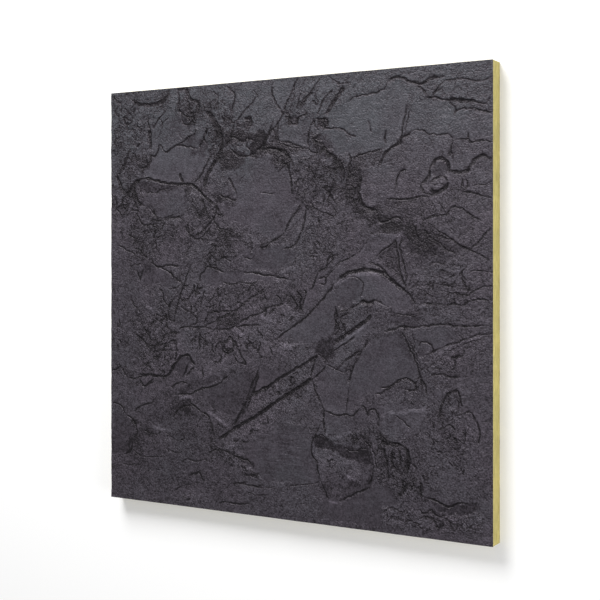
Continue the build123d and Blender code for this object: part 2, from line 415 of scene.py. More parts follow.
        ("hairline", [(-116, 292), (-108, 282), (-112, 270)]),
    ],
    "left": [
        ("crack", [(-192, 10), (-184, 13), (-176, 14)]),
        ("lip", [(-236, -15), (-228, -19), (-220, -23)]),
        ("crack", [(-218, -26), (-208, -30), (-200, -28)]),
        ("crack", [(-256, -56), (-249, -61), (-243, -67)]),
        ("hairline", [(-152, -60), (-143, -58), (-136, -59), (-130, -66)]),
        ("crack", [(-249, 88), (-257, 80), (-262, 73)]),
        ("hairline", [(-268, 43), (-257, 45), (-246, 46)]),
        ("crack", [(-253, 39), (-250, 30), (-248, 22)]),
        ("crack", [(-242, 38), (-245, 30), (-248, 22)]),
        ("crack", [(-213, 13), (-206, 4), (-202, -9), (-195, -13)]),
        ("crack", [(-195, -13), (-195, -30), (-190, -36), (-182, -34)]),
        ("crack", [(-134, -42), (-114, -34), (-99, -26), (-84, -20)]),
        ("crack", [(-162, 104), (-160, 94), (-156, 84)]),
        ("crack", [(-114, -79), (-110, -66), (-103, -63), (-99, -75), (-90, -80)]),
        ("crack", [(-92, -53), (-84, -59), (-83, -70), (-90, -75), (-98, -70), (-98, -58)]),
        ("crack", [(-82, -40), (-66, -31), (-48, -24), (-36, -21)]),
        ("hairline", [(-40, 5), (-30, 11), (-22, 15)]),
        ("hairline", [(-66, 58), (-53, 54), (-46, 60)]),
        ("crack", [(-288, 75), (-275, 68), (-265, 65), (-255, 58)]),
        ("crack", [(-228, 50), (-220, 45), (-212, 42), (-195, 45), (-175, 43)]),
        ("crack", [(-212, 42), (-200, 38), (-190, 32), (-180, 25), (-170, 19)]),
        ("crack", [(-156, 47), (-160, 37), (-165, 24), (-171, 9), (-177, -4), (-181, -18), (-186, -34)]),
        ("crack", [(-176, -2), (-166, -6), (-158, 0), (-151, 9)]),
        ("crack", [(-174, -12), (-168, -18), (-155, -22), (-147, -30), (-147, -38), (-160, -41)]),
        ("crack", [(-131, 10), (-137, -3), (-139, -15)]),
        ("crack", [(-140, 20), (-140, 31), (-133, 36), (-130, 42), (-118, 42), (-106, 38), (-98, 36)]),
        ("ledge", [(-134, -40), (-128, -28), (-120, -21), (-105, -20), (-75, -18)]),
        ("crack", [(-80, -19), (-65, -8), (-55, 0), (-40, 5)]),
        ("ledge", [(-178, -48), (-165, -43), (-150, -44), (-135, -43), (-118, -46)]),
        ("ledge", [(-120, -46), (-100, -45), (-80, -41), (-60, -38), (-38, -37)]),
        ("crack", [(-52, -24), (-35, -20), (-28, -14), (-15, -10), (2, -7)]),
        ("ledge", [(-250, -60), (-242, -66), (-236, -72), (-226, -74), (-216, -70), (-208, -64),
                   (-203, -58)]),
        ("ledge", [(-206, -60), (-195, -53), (-184, -52), (-172, -52)]),
        ("ledge", [(-218, -73), (-205, -70), (-190, -65), (-181, -63)]),
        ("crack", [(-182, -63), (-181, -78), (-183, -94)]),
        ("crack", [(-167, 103), (-162, 93), (-153, 86), (-142, 82), (-131, 90), (-120, 101)]),
        ("hairline", [(-150, 78), (-160, 68), (-168, 58)]),
        ("crack", [(-264, 0), (-262, -8), (-255, -18), (-246, -23)]),
        ("crack", [(-80, -60), (-76, -70), (-70, -80), (-62, -92), (-76, -89), (-82, -78)]),
        ("crack", [(-102, -75), (-90, -78), (-80, -72)]),
        ("crack", [(-68, 36), (-44, 34), (-22, 31), (-4, 29), (11, 25)]),
        ("lip", [(-4, 34), (5, 39), (20, 43)]),
        ("hairline", [(-113, 101), (-105, 93), (-92, 90)]),
        ("crack", [(-102, 22), (-86, 18), (-70, 22), (-54, 20), (-40, 25)]),
        ("crack", [(-120, 58), (-110, 52), (-98, 56), (-86, 50)]),
        ("hairline", [(-92, 8), (-76, 4), (-62, 8)]),
    ],
    "middle": [
        ("lip", [(-84, -41), (-74, -46), (-64, -52)]),
        ("lip", [(-38, -24), (-28, -27), (-18, -31)]),
        ("lip", [(-58, -9), (-50, -14), (-40, -12)]),
        ("lip", [(0, -58), (10, -65), (24, -62)]),
        ("lip", [(-84, -43), (-75, -50), (-62, -55)]),
        ("lip", [(-40, -27), (-30, -28), (-21, -31)]),
        ("crack", [(-12, 5), (-5, -2), (-2, -6)]),
        ("crack", [(28, 135), (22, 122), (12, 110), (6, 100), (0, 90)]),
        ("crack", [(1, 91), (-8, 83), (-18, 79), (-28, 72), (-40, 70)]),
        ("crack", [(36, 128), (33, 112), (30, 98), (25, 85), (18, 74), (8, 69), (-4, 70)]),
        ("crack", [(8, 8), (14, 0), (20, -8), (16, -18)]),
        ("crack", [(20, 12), (27, 2), (24, -8), (30, -18)]),
    ],
    "lower_left": [
        ("crack", [(-88, -262), (-70, -259), (-50, -261), (-32, -258)]),
        ("crack", [(-110, -291), (-92, -287), (-74, -289), (-54, -285)]),
        ("hairline", [(-62, -270), (-42, -273), (-22, -270)]),
        ("crack", [(-158, -150), (-149, -157), (-138, -163)]),
        ("crack", [(-150, -257), (-143, -250), (-136, -257)]),
        ("crack", [(-262, -184), (-254, -194), (-252, -206)]),
        ("lip", [(-226, -190), (-212, -194), (-198, -195)]),
        ("crack", [(-301, -113), (-288, -109), (-282, -103)]),
        ("crack", [(-270, -123), (-258, -122), (-242, -119), (-234, -115)]),
        ("crack", [(-248, -122), (-242, -132), (-231, -130), (-221, -124)]),
        ("hairline", [(-202, -196), (-190, -204), (-176, -207), (-164, -203)]),
        ("hairline", [(-263, -225), (-248, -235), (-231, -236), (-202, -233)]),
        ("hairline", [(-174, -238), (-162, -233), (-145, -236), (-132, -231), (-120, -236)]),
        ("hairline", [(-280, -250), (-267, -251), (-254, -248)]),
        ("crack", [(-66, -246), (-53, -247), (-40, -242)]),
        ("crack", [(-288, -102), (-279, -112), (-270, -122)]),
        ("cliff", [(-250, -116), (-225, -116), (-205, -117), (-195, -113), (-187, -102), (-182, -94)]),
        ("cliff", [(-190, -106), (-181, -95), (-173, -87), (-160, -84), (-154, -92), (-146, -98)]),
        ("crack", [(-240, -133), (-232, -128), (-222, -120)]),
        ("crack", [(-158, -92), (-164, -104), (-171, -118)]),
        ("crack", [(-150, -100), (-158, -108), (-165, -114)]),
        ("crack", [(-190, -134), (-183, -126), (-170, -124), (-160, -124)]),
        ("crack", [(-185, -143), (-170, -140), (-152, -138), (-140, -132), (-120, -126)]),
        ("ledge", [(-140, -132), (-120, -127), (-104, -120), (-90, -108), (-76, -100)]),
        ("lip", [(-176, -148), (-160, -144), (-149, -151), (-138, -163)]),
        ("ledge", [(-260, -173), (-252, -165), (-240, -160), (-228, -157), (-219, -149)]),
        ("crack", [(-188, -176), (-180, -165), (-168, -158), (-155, -154)]),
        ("ledge", [(-152, -154), (-140, -162), (-126, -168), (-121, -177), (-118, -187), (-115, -201)]),
        ("lip", [(-126, -164), (-116, -167), (-105, -174), (-94, -181)]),
        ("ledge", [(-301, -160), (-285, -163), (-275, -174), (-262, -182), (-254, -191)]),
        ("crack", [(-127, -224), (-118, -218), (-103, -215), (-88, -218), (-78, -223), (-60, -226),
                   (-50, -233)]),
        ("crack", [(-160, -256), (-146, -252), (-140, -250), (-135, -263)]),
        ("hairline", [(-186, -281), (-170, -273), (-155, -268), (-139, -266)]),
        ("crack", [(-276, -236), (-264, -228), (-260, -214)]),
        ("hairline", [(-240, -198), (-222, -202), (-208, -198)]),
        ("hairline", [(-200, -220), (-184, -226), (-168, -222)]),
        ("hairline", [(-60, -259), (-45, -262), (-30, -261), (-15, -259)]),
        ("hairline", [(5, -256), (25, -252), (45, -248), (58, -244)]),
        ("lip", [(-88, -204), (-78, -214), (-64, -220)]),
    ],
}

# Single sheets of the stone, and places where flakes of it have broken out: change of tone, roughness,
# change of level in mm, and the corners of a jagged outline. The darker tone of the low places is partly
# painted shade in their hollows, jar_shadow and gash_shadow are painted shadows below ledges, and the
# pale tone of pale_stream is partly a painted highlight.
sheets = {
    "top_left_sheet": (0.03, 0.25, 0.08, [
        (-230, 215), (-228, 238), (-214, 258), (-196, 268), (-176, 268), (-163, 252), (-162, 236),
        (-178, 224), (-198, 213), (-211, 222), (-220, 207),
    ]),
    "left_sheet": (0.14, 0.10, 0.12, [
        (-241, 186), (-231, 190), (-224, 200), (-211, 214), (-200, 211), (-185, 218), (-165, 226),
        (-148, 232), (-130, 236), (-122, 218), (-128, 200), (-134, 184), (-146, 172), (-165, 164),
        (-195, 166), (-225, 172),
    ]),
    "under_left_sheet": (0.0, 0.2, 0.05, [
        (-246, 136), (-232, 148), (-205, 153), (-180, 155), (-165, 150), (-160, 128), (-178, 117),
        (-205, 112), (-232, 122),
    ]),
    "top_sheet": (0.06, 0.4, 0.05, [
        (-78, 290), (-44, 284), (-20, 292), (-17, 274), (-3, 252), (-18, 238), (-40, 232), (-60, 240),
        (-78, 248), (-66, 262),
    ]),
    "top_wedge": (0.08, 0.25, 0.08, [
        (-16, 299), (20, 299), (8, 274), (-2, 256), (-14, 268),
    ]),
    "fork_sheet": (0.07, 0.2, 0.10, [
        (-3, 250), (6, 238), (22, 238), (36, 247), (44, 236), (38, 206), (12, 213), (-8, 217), (-10, 234),
    ]),
    "wing": (0.12, 0.15, 0.12, [
        (68, 246), (84, 258), (104, 264), (128, 270), (152, 275), (170, 285), (186, 272), (184, 244),
        (177, 215), (160, 200), (130, 196), (102, 192), (96, 206), (108, 216), (98, 224), (80, 229),
        (70, 234),
    ]),
    "small_wing": (0.09, 0.1, 0.08, [
        (46, 216), (66, 226), (88, 226), (106, 215), (98, 196), (84, 190), (72, 200), (58, 210),
    ]),
    "middle_sheet": (0.07, 0.15, 0.15, [
        (-74, 195), (-50, 193), (-20, 197), (-2, 187), (9, 176), (11, 156), (15, 142), (24, 132),
        (12, 110), (2, 94), (-10, 84), (-32, 86), (-52, 97), (-76, 105), (-101, 117), (-100, 132),
        (-79, 146), (-80, 162), (-94, 177),
    ]),
    "long_right_sheet": (0.08, 0.2, 0.08, [
        (187, 247), (206, 259), (232, 256), (250, 244), (301, 236), (301, 203), (272, 204), (250, 206),
        (222, 214), (198, 220), (182, 213),
    ]),
    "thumb_sheet": (0.05, 0.35, 0.08, [
        (180, 211), (198, 218), (222, 212), (250, 204), (301, 198), (301, 184), (284, 182), (272, 172),
        (260, 165), (246, 168), (238, 181), (222, 178), (214, 160), (205, 150), (195, 135), (150, 134),
        (122, 122), (117, 150), (124, 172), (146, 178), (158, 197),
    ]),
    "thumb": (-0.06, 0.05, -0.10, [
        (219, 172), (226, 178), (236, 178), (242, 170), (240, 160), (230, 156), (220, 160),
    ]),
    "below_thumbs": (-0.15, 0.4, -0.08, [
        (120, 116), (143, 118), (146, 105), (182, 104), (206, 110), (216, 128), (190, 131), (152, 131),
        (132, 122),
    ]),
    "arch_inside": (0.13, 0.12, 0.10, [
        (70, 12), (84, 28), (108, 36), (138, 37), (156, 30), (176, 14), (196, -4), (178, -14), (150, -5),
        (128, -2), (118, -2), (122, 14), (118, 27), (100, 30), (84, 20),
    ]),
    "arch_lens": (-0.03, 0.05, 0.0, [
        (80, 10), (92, 26), (110, 29), (120, 20), (118, 6), (106, -8), (90, -14), (80, -8),
    ]),
    "arch_flank": (0.06, 0.12, 0.08, [
        (40, -19), (56, -5), (70, 10), (80, 6), (80, -12), (82, -30), (78, -44), (54, -58), (30, -60),
        (4, -53), (-8, -52), (16, -38),
    ]),
    "outer_band": (0.09, 0.25, 0.06, [
        (38, 10), (50, 18), (58, 34), (68, 40), (90, 54), (116, 65), (132, 82), (152, 88), (176, 86),
        (160, 74), (142, 61), (128, 50), (106, 43), (88, 35), (70, 18), (56, 2), (42, -12), (32, -16),
        (30, 0),
    ]),
    "fan": (-0.17, 0.4, -0.35, [
        (142, 60), (155, 68), (169, 77), (171, 60), (174, 46), (181, 22), (166, 38), (150, 46),
    ]),
    "fan_right": (-0.08, 0.3, -0.15, [
        (184, 82), (200, 92), (232, 86), (262, 66), (240, 50), (206, 44), (190, 52),
    ]),
    "notch": (-0.22, 0.3, -0.15, [
        (142, 104), (160, 101), (182, 103), (180, 92), (160, 90), (146, 93),
    ]),
    # pale_stream: partly a painted highlight
    "pale_stream": (0.24, 0.8, 0.08, [
        (-36, -18), (-18, -12), (2, -8), (12, -16), (26, -22), (6, -40), (-8, -50), (-28, -54),
        (-50, -46), (-64, -34),
    ]),
    "pale_left": (0.18, 0.9, 0.06, [
        (-82, -44), (-60, -42), (-40, -56), (-20, -62), (10, -66), (30, -64), (20, -76), (-20, -78),
        (-60, -74), (-80, -62),
    ]),
    "grey_lens": (0.03, 0.1, 0.05, [
        (-138, 20), (-138, 32), (-128, 40), (-100, 37), (-60, 36), (-20, 31), (8, 26), (-20, 23),
        (-50, 24), (-80, 20), (-110, 14),
    ]),
    "flat_middle": (-0.02, 0.1, 0.0, [
        (-66, 56), (-40, 66), (-10, 70), (8, 64), (16, 56), (4, 42), (-20, 37), (-50, 42),
    ]),
    "flat_left": (-0.03, 0.15, 0.0, [
        (-238, 44), (-212, 41), (-190, 31), (-182, 14), (-200, 14), (-232, 18), (-250, 30),
    ]),
    "pale_triangle": (0.10, 0.5, 0.08, [
        (-181, -53), (-168, -49), (-158, -62), (-160, -80), (-170, -84), (-180, -88),
    ]),
    "dark_triangle": (-0.06, 0.1, -0.15, [
        (-186, -106), (-176, -90), (-162, -84), (-152, -94), (-160, -104), (-172, -118),
    ]),
    "pale_rubble": (0.06, 1.0, 0.05, [
        (-248, -112), (-226, -115), (-200, -115), (-188, -100), (-184, -70), (-204, -60), (-228, -44),
        (-244, -52), (-236, -72), (-250, -84),
    ]),
    # gash_shadow: painted shadow below the gash
    "gash_shadow": (-0.16, 0.15, -0.15, [
        (-190, -142), (-160, -136), (-128, -126), (-100, -115), (-78, -99), (-100, -105), (-130, -116),
        (-166, -126),
    ]),
    "dusk_sheet": (-0.08, 0.1, -0.10, [
        (-142, -136), (-104, -122), (-64, -104), (-46, -108), (-56, -130), (-68, -152), (-84, -166),
        (-108, -160), (-126, -152),
    ]),
    "left_dusk": (-0.10, 0.1, -0.05, [
        (-297, -170), (-280, -176), (-266, -188), (-262, -214), (-268, -232), (-297, -236),
    ]),
    "splinter": (0.16, 0.9, 0.12, [
        (-50, -134), (-20, -121), (15, -100), (40, -84), (44, -103), (22, -119), (-8, -137), (-52, -162),
        (-60, -152),
    ]),
    "splinter_bank": (0.25, 0.9, 0.05, [
        (-100, -206), (-60, -181), (-20, -156), (20, -131), (48, -113), (50, -123), (26, -143),
        (-14, -168), (-58, -194), (-92, -213),
    ]),
    "splinter_blade": (0.05, 0.1, 0.10, [
        (80, -60), (110, -40), (134, -24), (134, -34), (112, -50), (86, -66),
    ]),
    "ripple_ground": (-0.01, 0.05, 0.0, [
        (-80, -213), (-50, -198), (-8, -174), (36, -176), (44, -200), (50, -222), (55, -244), (20, -250),
        (-30, -252), (-60, -234),
    ]),
    "dark_wedge": (-0.01, 0.1, -0.05, [
        (-38, -96), (-20, -98), (0, -100), (14, -97), (-4, -108), (-22, -119), (-46, -130), (-50, -116),
    ]),
    "splinter_end": (-0.18, 0.3, -0.30, [
        (-42, -104), (-51, -128), (-56, -144), (-64, -160), (-84, -184), (-88, -180), (-72, -160),
        (-60, -140), (-52, -116),
    ]),
    "splinter_pit": (-0.24, 0.15, -0.50, [
        (49, -70), (53, -57), (61, -52), (68, -54), (74, -47), (80, -57), (77, -66), (80, -77), (71, -79),
        (65, -84), (58, -78),
    ]),
    "jar_neck": (0.06, 0.12, 0.08, [
        (52, -122), (60, -138), (66, -147), (88, -152), (96, -149), (98, -114), (94, -94), (70, -91),
        (50, -104),
    ]),
    "jar_body": (0.02, 0.2, 0.05, [
        (66, -152), (88, -156), (104, -152), (118, -141), (128, -152), (124, -166), (104, -177),
        (84, -184), (70, -181), (65, -168),
    ]),
    "jar_bowl": (0.34, 0.7, 0.0, [
        (50, -205), (64, -202), (80, -206), (96, -212), (110, -215), (116, -224), (112, -235), (96, -231),
        (80, -226), (62, -228), (54, -220),
    ]),
    # jar_shadow: painted shadow below the jar's shoulder
    "jar_shadow": (-0.26, 0.1, -0.25, [
        (46, -189), (54, -181), (62, -183), (74, -190), (92, -195), (110, -197), (124, -192), (132, -200),
        (134, -214), (124, -217), (108, -211), (92, -209), (78, -203), (64, -199), (50, -201),
    ]),
    "jar_corner": (-0.16, 0.2, -0.10, [
        (108, -235), (124, -240), (134, -226), (135, -242), (124, -250), (104, -258), (88, -262),
        (92, -250),
    ]),
    "right_scribble": (-0.07, 0.9, -0.10, [
        (142, -168), (160, -182), (184, -190), (192, -214), (206, -236), (204, -254), (172, -258),
        (150, -242), (138, -230), (142, -200),
    ]),
    "bottom_sheet": (-0.05, 0.05, 0.0, [
        (62, -262), (90, -272), (120, -255), (136, -245), (160, -240), (170, -258), (160, -276),
        (150, -294), (60, -294),
    ]),
    "dark_bar": (-0.16, 0.08, -0.10, [
        (216, -248), (236, -256), (262, -254), (280, -250), (282, -270), (262, -274), (240, -268),
        (222, -262),
    ]),
    "bottom_rubble": (0.16, 1.1, 0.05, [
        (150, -270), (190, -268), (230, -274), (286, -262), (286, -290), (150, -292),
    ]),
    "shoulder": (0.03, 0.05, 0.05, [
        (104, -96), (112, -80), (128, -62), (140, -50), (174, -40), (188, -66), (200, -96), (190, -101),
        (172, -102), (150, -118), (128, -123), (110, -136), (99, -150), (99, -128),
    ]),
    "shoulder_right": (0.0, 0.12, 0.03, [
        (204, -70), (196, -60), (200, -40), (230, -34), (262, -36), (240, -54), (222, -64),
    ]),
    "pale_slope": (0.09, 0.3, 0.08, [
        (146, -140), (170, -134), (210, -134), (206, -150), (190, -166), (166, -172), (148, -168),
    ]),
    "left_knot": (-0.42, 0.2, -0.50, [
        (-57, 197), (-52, 214), (-47, 223), (-40, 233), (-31, 230), (-27, 221), (-31, 211), (-14, 208),
        (-2, 205), (-4, 197), (-34, 198), (-53, 194),
    ]),
    "knot_left": (-0.36, 0.5, -0.30, [
        (-103, 204), (-84, 210), (-62, 200), (-68, 186), (-86, 177), (-101, 182),
    ]),
    "knot_top": (-0.36, 0.4, -0.20, [
        (-96, 231), (-70, 231), (-44, 227), (-50, 216), (-70, 218), (-96, 215),
    ]),
    "knot_right": (-0.26, 0.8, -0.20, [
        (-20, 200), (0, 199), (12, 188), (8, 178), (-8, 176), (-20, 184),
    ]),
    "bank_dark": (-0.12, 0.15, -0.10, [
        (178, 66), (182, 92), (192, 102), (206, 90), (232, 76), (226, 60), (204, 56),
    ]),
    "lens": (-0.22, 0.5, -0.20, [
        (-30, 217), (-12, 215), (12, 210), (36, 204), (10, 197), (0, 190), (-14, 201), (-30, 204),
    ]),
    "ridge_wedge": (-0.12, 0.4, -0.25, [
        (104, 189), (126, 194), (152, 197), (144, 180), (132, 172), (112, 176),
    ]),
    "cup": (-0.14, 0.6, -0.30, [
        (100, 178), (116, 174), (120, 162), (113, 146), (104, 158), (98, 168),
    ]),
    "sheet_below": (-0.18, 0.2, -0.25, [
        (-254, 168), (-236, 168), (-205, 162), (-178, 158), (-190, 152), (-214, 152), (-236, 149),
        (-248, 154),
    ]),
    "tongue": (-0.30, 0.4, -0.25, [
        (-114, 146), (-98, 144), (-76, 139), (-78, 132), (-90, 126), (-98, 134), (-112, 134),
    ]),
    "blade_top": (-0.16, 0.2, -0.20, [
        (162, -12), (178, -17), (192, -19), (203, -26), (196, -33), (172, -35), (166, -26),
    ]),
    "twig_root": (-0.14, 0.5, -0.15, [
        (12, 23), (20, 15), (28, 11), (34, 2), (28, -6), (29, -18), (18, -16), (10, -8), (1, -4), (-6, 3),
        (3, 8), (9, 13),
    ]),
    "knee": (-0.28, 0.3, -0.30, [
        (52, 244), (62, 242), (69, 240), (68, 230), (56, 231),
    ]),
    "fork_hole": (-0.22, 0.3, -0.30, [
        (2, 252), (10, 250), (12, 238), (20, 237), (22, 246), (12, 256),
    ]),
    "top_bowl": (-0.16, 0.5, -0.20, [
        (-168, 296), (-160, 284), (-150, 276), (-158, 262), (-170, 264), (-178, 280),
    ]),
    "knot_square": (-0.24, 0.3, -0.20, [
        (-65, 249), (-55, 249), (-54, 237), (-60, 233), (-64, 240),
    ]),
    "under_fan": (-0.12, 0.6, -0.15, [
        (182, 103), (206, 98), (232, 88), (228, 74), (206, 62), (192, 72), (182, 86),
    ]),
    "wedge": (-0.10, 0.4, -0.15, [
        (88, -84), (104, -77), (118, -67), (109, -84), (102, -98),
    ]),
    "thumb_left": (-0.14, 0.2, -0.15, [
        (166, 150), (170, 164), (180, 171), (184, 165), (174, 158),
    ]),
}

# Soft patches: middle, half sizes, turn in degrees, change of tone, roughness. They are laid on in this
# order, and a later one changes the roughness that an earlier one left. Some are painted light: the thin
# pale ones are painted highlights along lit crests, and some dark ones are painted shade below ledges.
patches = [
    (146, 90, 12, 6, 0, -0.20, 0.5),
    (63, 129, 15, 12, 0, 0.10, 1.0),
    (108, -38, 30, 9, 35, 0.10, 0.3),
    (34, -30, 30, 7, 25, 0.08, 0.2),
    (-167, 286, 9, 8, 0, 0.16, 0.8),
    (-285, 134, 8, 8, 0, 0.12, 0.9),
    (186, 148, 14, 18, 0, -0.07, 0.3),
    (182, -248, 10, 12, 0, 0.12, 0.8),
    (-245, -163, 24, 9, 0, 0.07, 0.5),
    (-124, 88, 9, 9, 0, -0.14, 1.0),
    (-84, -9, 24, 8, 10, 0.08, 1.0),
    (-18, -172, 46, 8, 32, 0.07, 0.4),
    (-56, 76, 13, 10, 0, 0.13, 0.6),
    (-80, 80, 8, 8, 0, -0.18, 1.1),
    (-112, 66, 13, 6, 40, 0.15, 0.8),
    (-155, 62, 20, 9, 10, 0.08, 0.8),
    (20, -14, 11, 5, 0, -0.12, 0.8),
    (-90, -62, 14, 9, 0, 0.18, 0.8),
    (-10, -81, 18, 6, 0, 0.18, 0.8),
    (-138, -12, 22, 8, 0, 0.08, 0.9),
    (-190, -20, 14, 20, 0, -0.10, 0.7),
    (-283, -62, 16, 22, 0, -0.11, 0.6),
    (-265, 184, 14, 11, 0, -0.15, 1.0),
    (-290, 232, 8, 13, 0, -0.14, 1.0),
    (-276, 144, 15, 15, 0, 0.09, 1.0),
    (-262, 97, 9, 12, 0, 0.12, 0.9),
    (-222, 114, 10, 8, 0, -0.12, 1.0),
    (-130, 148, 18, 6, -20, -0.10, 0.6),
    (-145, 107, 9, 12, 0, 0.10, 0.8),
    (-140, 204, 10, 8, 0, -0.12, 0.4),
    (-200, 280, 20, 11, 0, -0.11, 0.8),
    (-108, 273, 10, 8, 0, -0.12, 0.8),
    (-24, 278, 18, 14, 0, -0.07, 0.5),
    (40, 218, 14, 9, 0, -0.12, 0.5),
    (68, 212, 13, 6, 0, 0.12, 0.4),
    (80, 152, 8, 14, -20, -0.14, 1.0),
    (111, 126, 13, 14, 0, -0.11, 0.8),
    (212, 100, 17, 6, 0, -0.12, 0.7),
    (238, 48, 26, 8, 0, -0.08, 0.8),
    (190, 6, 10, 18, 0, -0.08, 0.5),
    (282, -66, 20, 13, 0, 0.09, 0.6),
    (248, -112, 14, 9, 0, 0.10, 0.8),
    (218, -137, 13, 4, 15, 0.14, 0.5),
    (288, 152, 13, 13, 0, 0.09, 0.4),
    (268, 181, 9, 7, 0, 0.11, 0.4),
    (215, 228, 17, 8, 0, -0.07, 0.3),
    (70, -212, 11, 5, 0, 0.12, 0.6),
    (-240, -210, 14, 10, 0, -0.09, 0.4),
    (-146, -170, 18, 8, -20, -0.15, 0.4),
    (-72, -209, 22, 7, 30, 0.10, 0.7),
    (-158, 158, 17, 7, -10, -0.20, 0.5),
    (-70, 241, 13, 10, 0, -0.22, 0.8),
    (-20, 224, 10, 11, 0, -0.22, 0.6),
    (-72, 166, 10, 8, 0, -0.12, 0.3),
    (98, -226, 15, 7, -10, -0.28, 0.5),
    (76, -184, 16, 5, 10, -0.12, 0.3),
    (200, -15, 14, 10, 0, -0.12, 0.5),
    (-111, -170, 20, 2, -30, 0.30, 0.4),
    (-165, -143, 14, 2, 0, 0.15, 0.4),
    (-212, -192, 18, 2, -6, 0.15, 0.4),
    (-73, -48, 10, 4, -30, 0.34, 0.6),
    (-28, -27, 12, 2, -15, 0.25, 0.6),
    (10, -63, 12, 2, 0, 0.12, 0.6),
    (228, 149, 5, 4, 30, 0.20, 0.6),
    (230, 169, 9, 8, 0, -0.06, 0.0),
    (264, 147, 2, 4, 0, 0.30, 0.3),
    (108, -236, 12, 3, -25, 0.35, 0.2),
    (82, -270, 12, 2, 5, 0.30, 0.3),
    (-257, -215, 8, 30, 0, -0.14, 0.4),
    (66, -252, 9, 12, 0, -0.14, 0.4),
    (-252, 200, 16, 14, 0, -0.18, 1.1),
    (-92, 85, 18, 10, 0, -0.16, 1.1),
    (-230, 125, 16, 11, 0, -0.16, 1.1),
    (-140, 215, 20, 22, 0, -0.22, 0.8),
    (-143, 260, 16, 14, 0, -0.20, 0.9),
    (-95, 250, 14, 14, 0, -0.22, 0.8),
    (-88, 226, 24, 12, 0, -0.16, 0.8),
    (-95, 186, 14, 13, 0, -0.12, 0.8),
    (60, 200, 16, 18, 30, -0.22, 0.9),
    (62, 237, 12, 9, 0, -0.16, 0.6),
    (132, 112, 24, 14, 0, -0.22, 0.6),
    (160, 97, 34, 12, -5, -0.18, 0.5),
    (222, 70, 20, 14, 0, -0.10, 0.8),
    (126, -6, 20, 10, 0, -0.14, 0.4),
    (188, -62, 12, 30, 25, -0.12, 0.4),
    (-172, -152, 26, 14, 0, -0.12, 0.4),
    (-118, -186, 18, 14, 0, -0.14, 0.5),
    (-245, -205, 22, 22, 0, -0.12, 0.5),
    (-265, -115, 26, 18, 0, -0.10, 0.6),
    (125, -178, 18, 14, 0, -0.18, 0.8),
    (108, -243, 18, 8, 0, -0.04, 0.4),
    (24, -123, 34, 8, 32, -0.22, 0.4),
    (-20, -74, 38, 10, 0, 0.20, 0.9),
    (-40, -20, 22, 30, 20, 0.10, 0.8),
    (-104, -96, 26, 12, 20, 0.14, 0.6),
    (-130, -4, 22, 10, 0, 0.12, 0.9),
    (262, -140, 42, 60, 0, 0.09, 0.8),
    (-262, 232, 13, 34, 0, 0.14, 1.0),
    (-24, 75, 13, 5, 20, -0.20, 0.8),
    (-34, 50, 14, 7, 0, -0.06, 0.5),
    (-112, 54, 14, 14, 0, -0.04, 1.2),
    (-235, 75, 22, 40, 0, -0.04, 1.2),
    (-92, -30, 20, 10, 10, -0.24, 1.1),
    (-20, 120, 16, 10, 0, -0.10, 1.0),
    (-65, -226, 12, 5, -20, -0.20, 0.6),
    (-160, -292, 24, 8, 0, 0.10, 1.2),
    (60, 158, 50, 34, 0, -0.08, 1.1),
    (90, 182, 40, 14, -45, -0.10, 1.0),
    (-160, 262, 24, 16, -20, -0.16, 1.0),
    (-122, 225, 20, 38, 10, -0.10, 1.0),
    (-270, 235, 34, 60, 0, -0.04, 1.0),
    (-270, 140, 34, 40, 0, -0.06, 1.0),
    (-250, 280, 50, 20, 0, 0.0, 0.8),
    (-140, 125, 40, 20, -30, -0.06, 1.0),
    (-100, 74, 34, 18, 0, -0.12, 1.2),
    (-215, 95, 60, 16, 0, -0.06, 0.9),
    (-240, 60, 30, 30, 0, -0.06, 0.9),
    (-250, 0, 50, 60, 0, -0.03, 0.5),
    (-225, -45, 46, 26, 0, -0.03, 1.0),
    (-165, 0, 30, 30, 0, 0.04, 0.8),
    (-110, 0, 44, 22, 20, -0.02, 1.2),
    (-60, 10, 50, 18, 10, 0.02, 0.9),
    (-115, -65, 50, 20, 0, 0.10, 1.0),
    (-106, -97, 42, 14, 20, 0.16, 0.7),
    (-200, -175, 70, 24, 0, -0.10, 0.4),
    (-150, -215, 60, 24, 0, -0.07, 0.5),
    (-230, -260, 80, 36, 0, -0.06, 0.5),
    (-70, -270, 80, 26, 0, -0.03, 0.55),
    (-65, -228, 34, 14, -20, 0.0, 1.0),
    (245, -165, 40, 50, 0, -0.02, 0.9),
    (205, -205, 40, 20, 0, -0.02, 0.7),
    (280, -120, 24, 60, 0, -0.04, 0.3),
    (250, -70, 40, 20, 20, 0.0, 0.8),
    (245, 18, 56, 30, 0, 0.08, 0.8),
    (60, 85, 44, 34, 20, 0.0, 0.8),
    (88, -30, 12, 26, 0, -0.08, 1.0),
    (8, 260, 30, 24, 0, -0.02, 0.8),
    (56, 275, 28, 22, 40, 0.25, 0.75),
    (112, 158, 18, 38, 0, -0.11, 0.8),
    (110, -175, 26, 12, 0, 0.02, 0.9),
    (160, 60, 30, 40, 0, 0.0, 0.5),
    (205, 110, 40, 24, 0, -0.02, 0.7),
]

# Every line wanders a little, so that none is drawn with a ruler, and its depth comes and goes
wander = 0.5  # in mm
depth_swing = 0.22
least_share, most_share = 0.45, 1.4  # of a line's own depth


def wandering():
    """How far the lines are pushed aside at each place: a slow swing with a finer one on it."""
    return wander * (0.8 * cleft_noise(22, 7) + 0.2 * cleft_noise(6, 3))


line_across = across + wandering()
line_up = up + wandering()
depth_share = np.clip(1 + depth_swing * cleft_noise(24, 6), least_share, most_share)

line_reach = 16.0  # a line or an outline is worked out this far beyond its ends, in mm


def window(points):
    """The part of the grid that lies within the reach of some points."""
    low = np.searchsorted(axis, points.min(0) - line_reach)
    high = np.searchsorted(axis, points.max(0) + line_reach)
    return np.s_[low[1] : high[1], low[0] : high[0]]


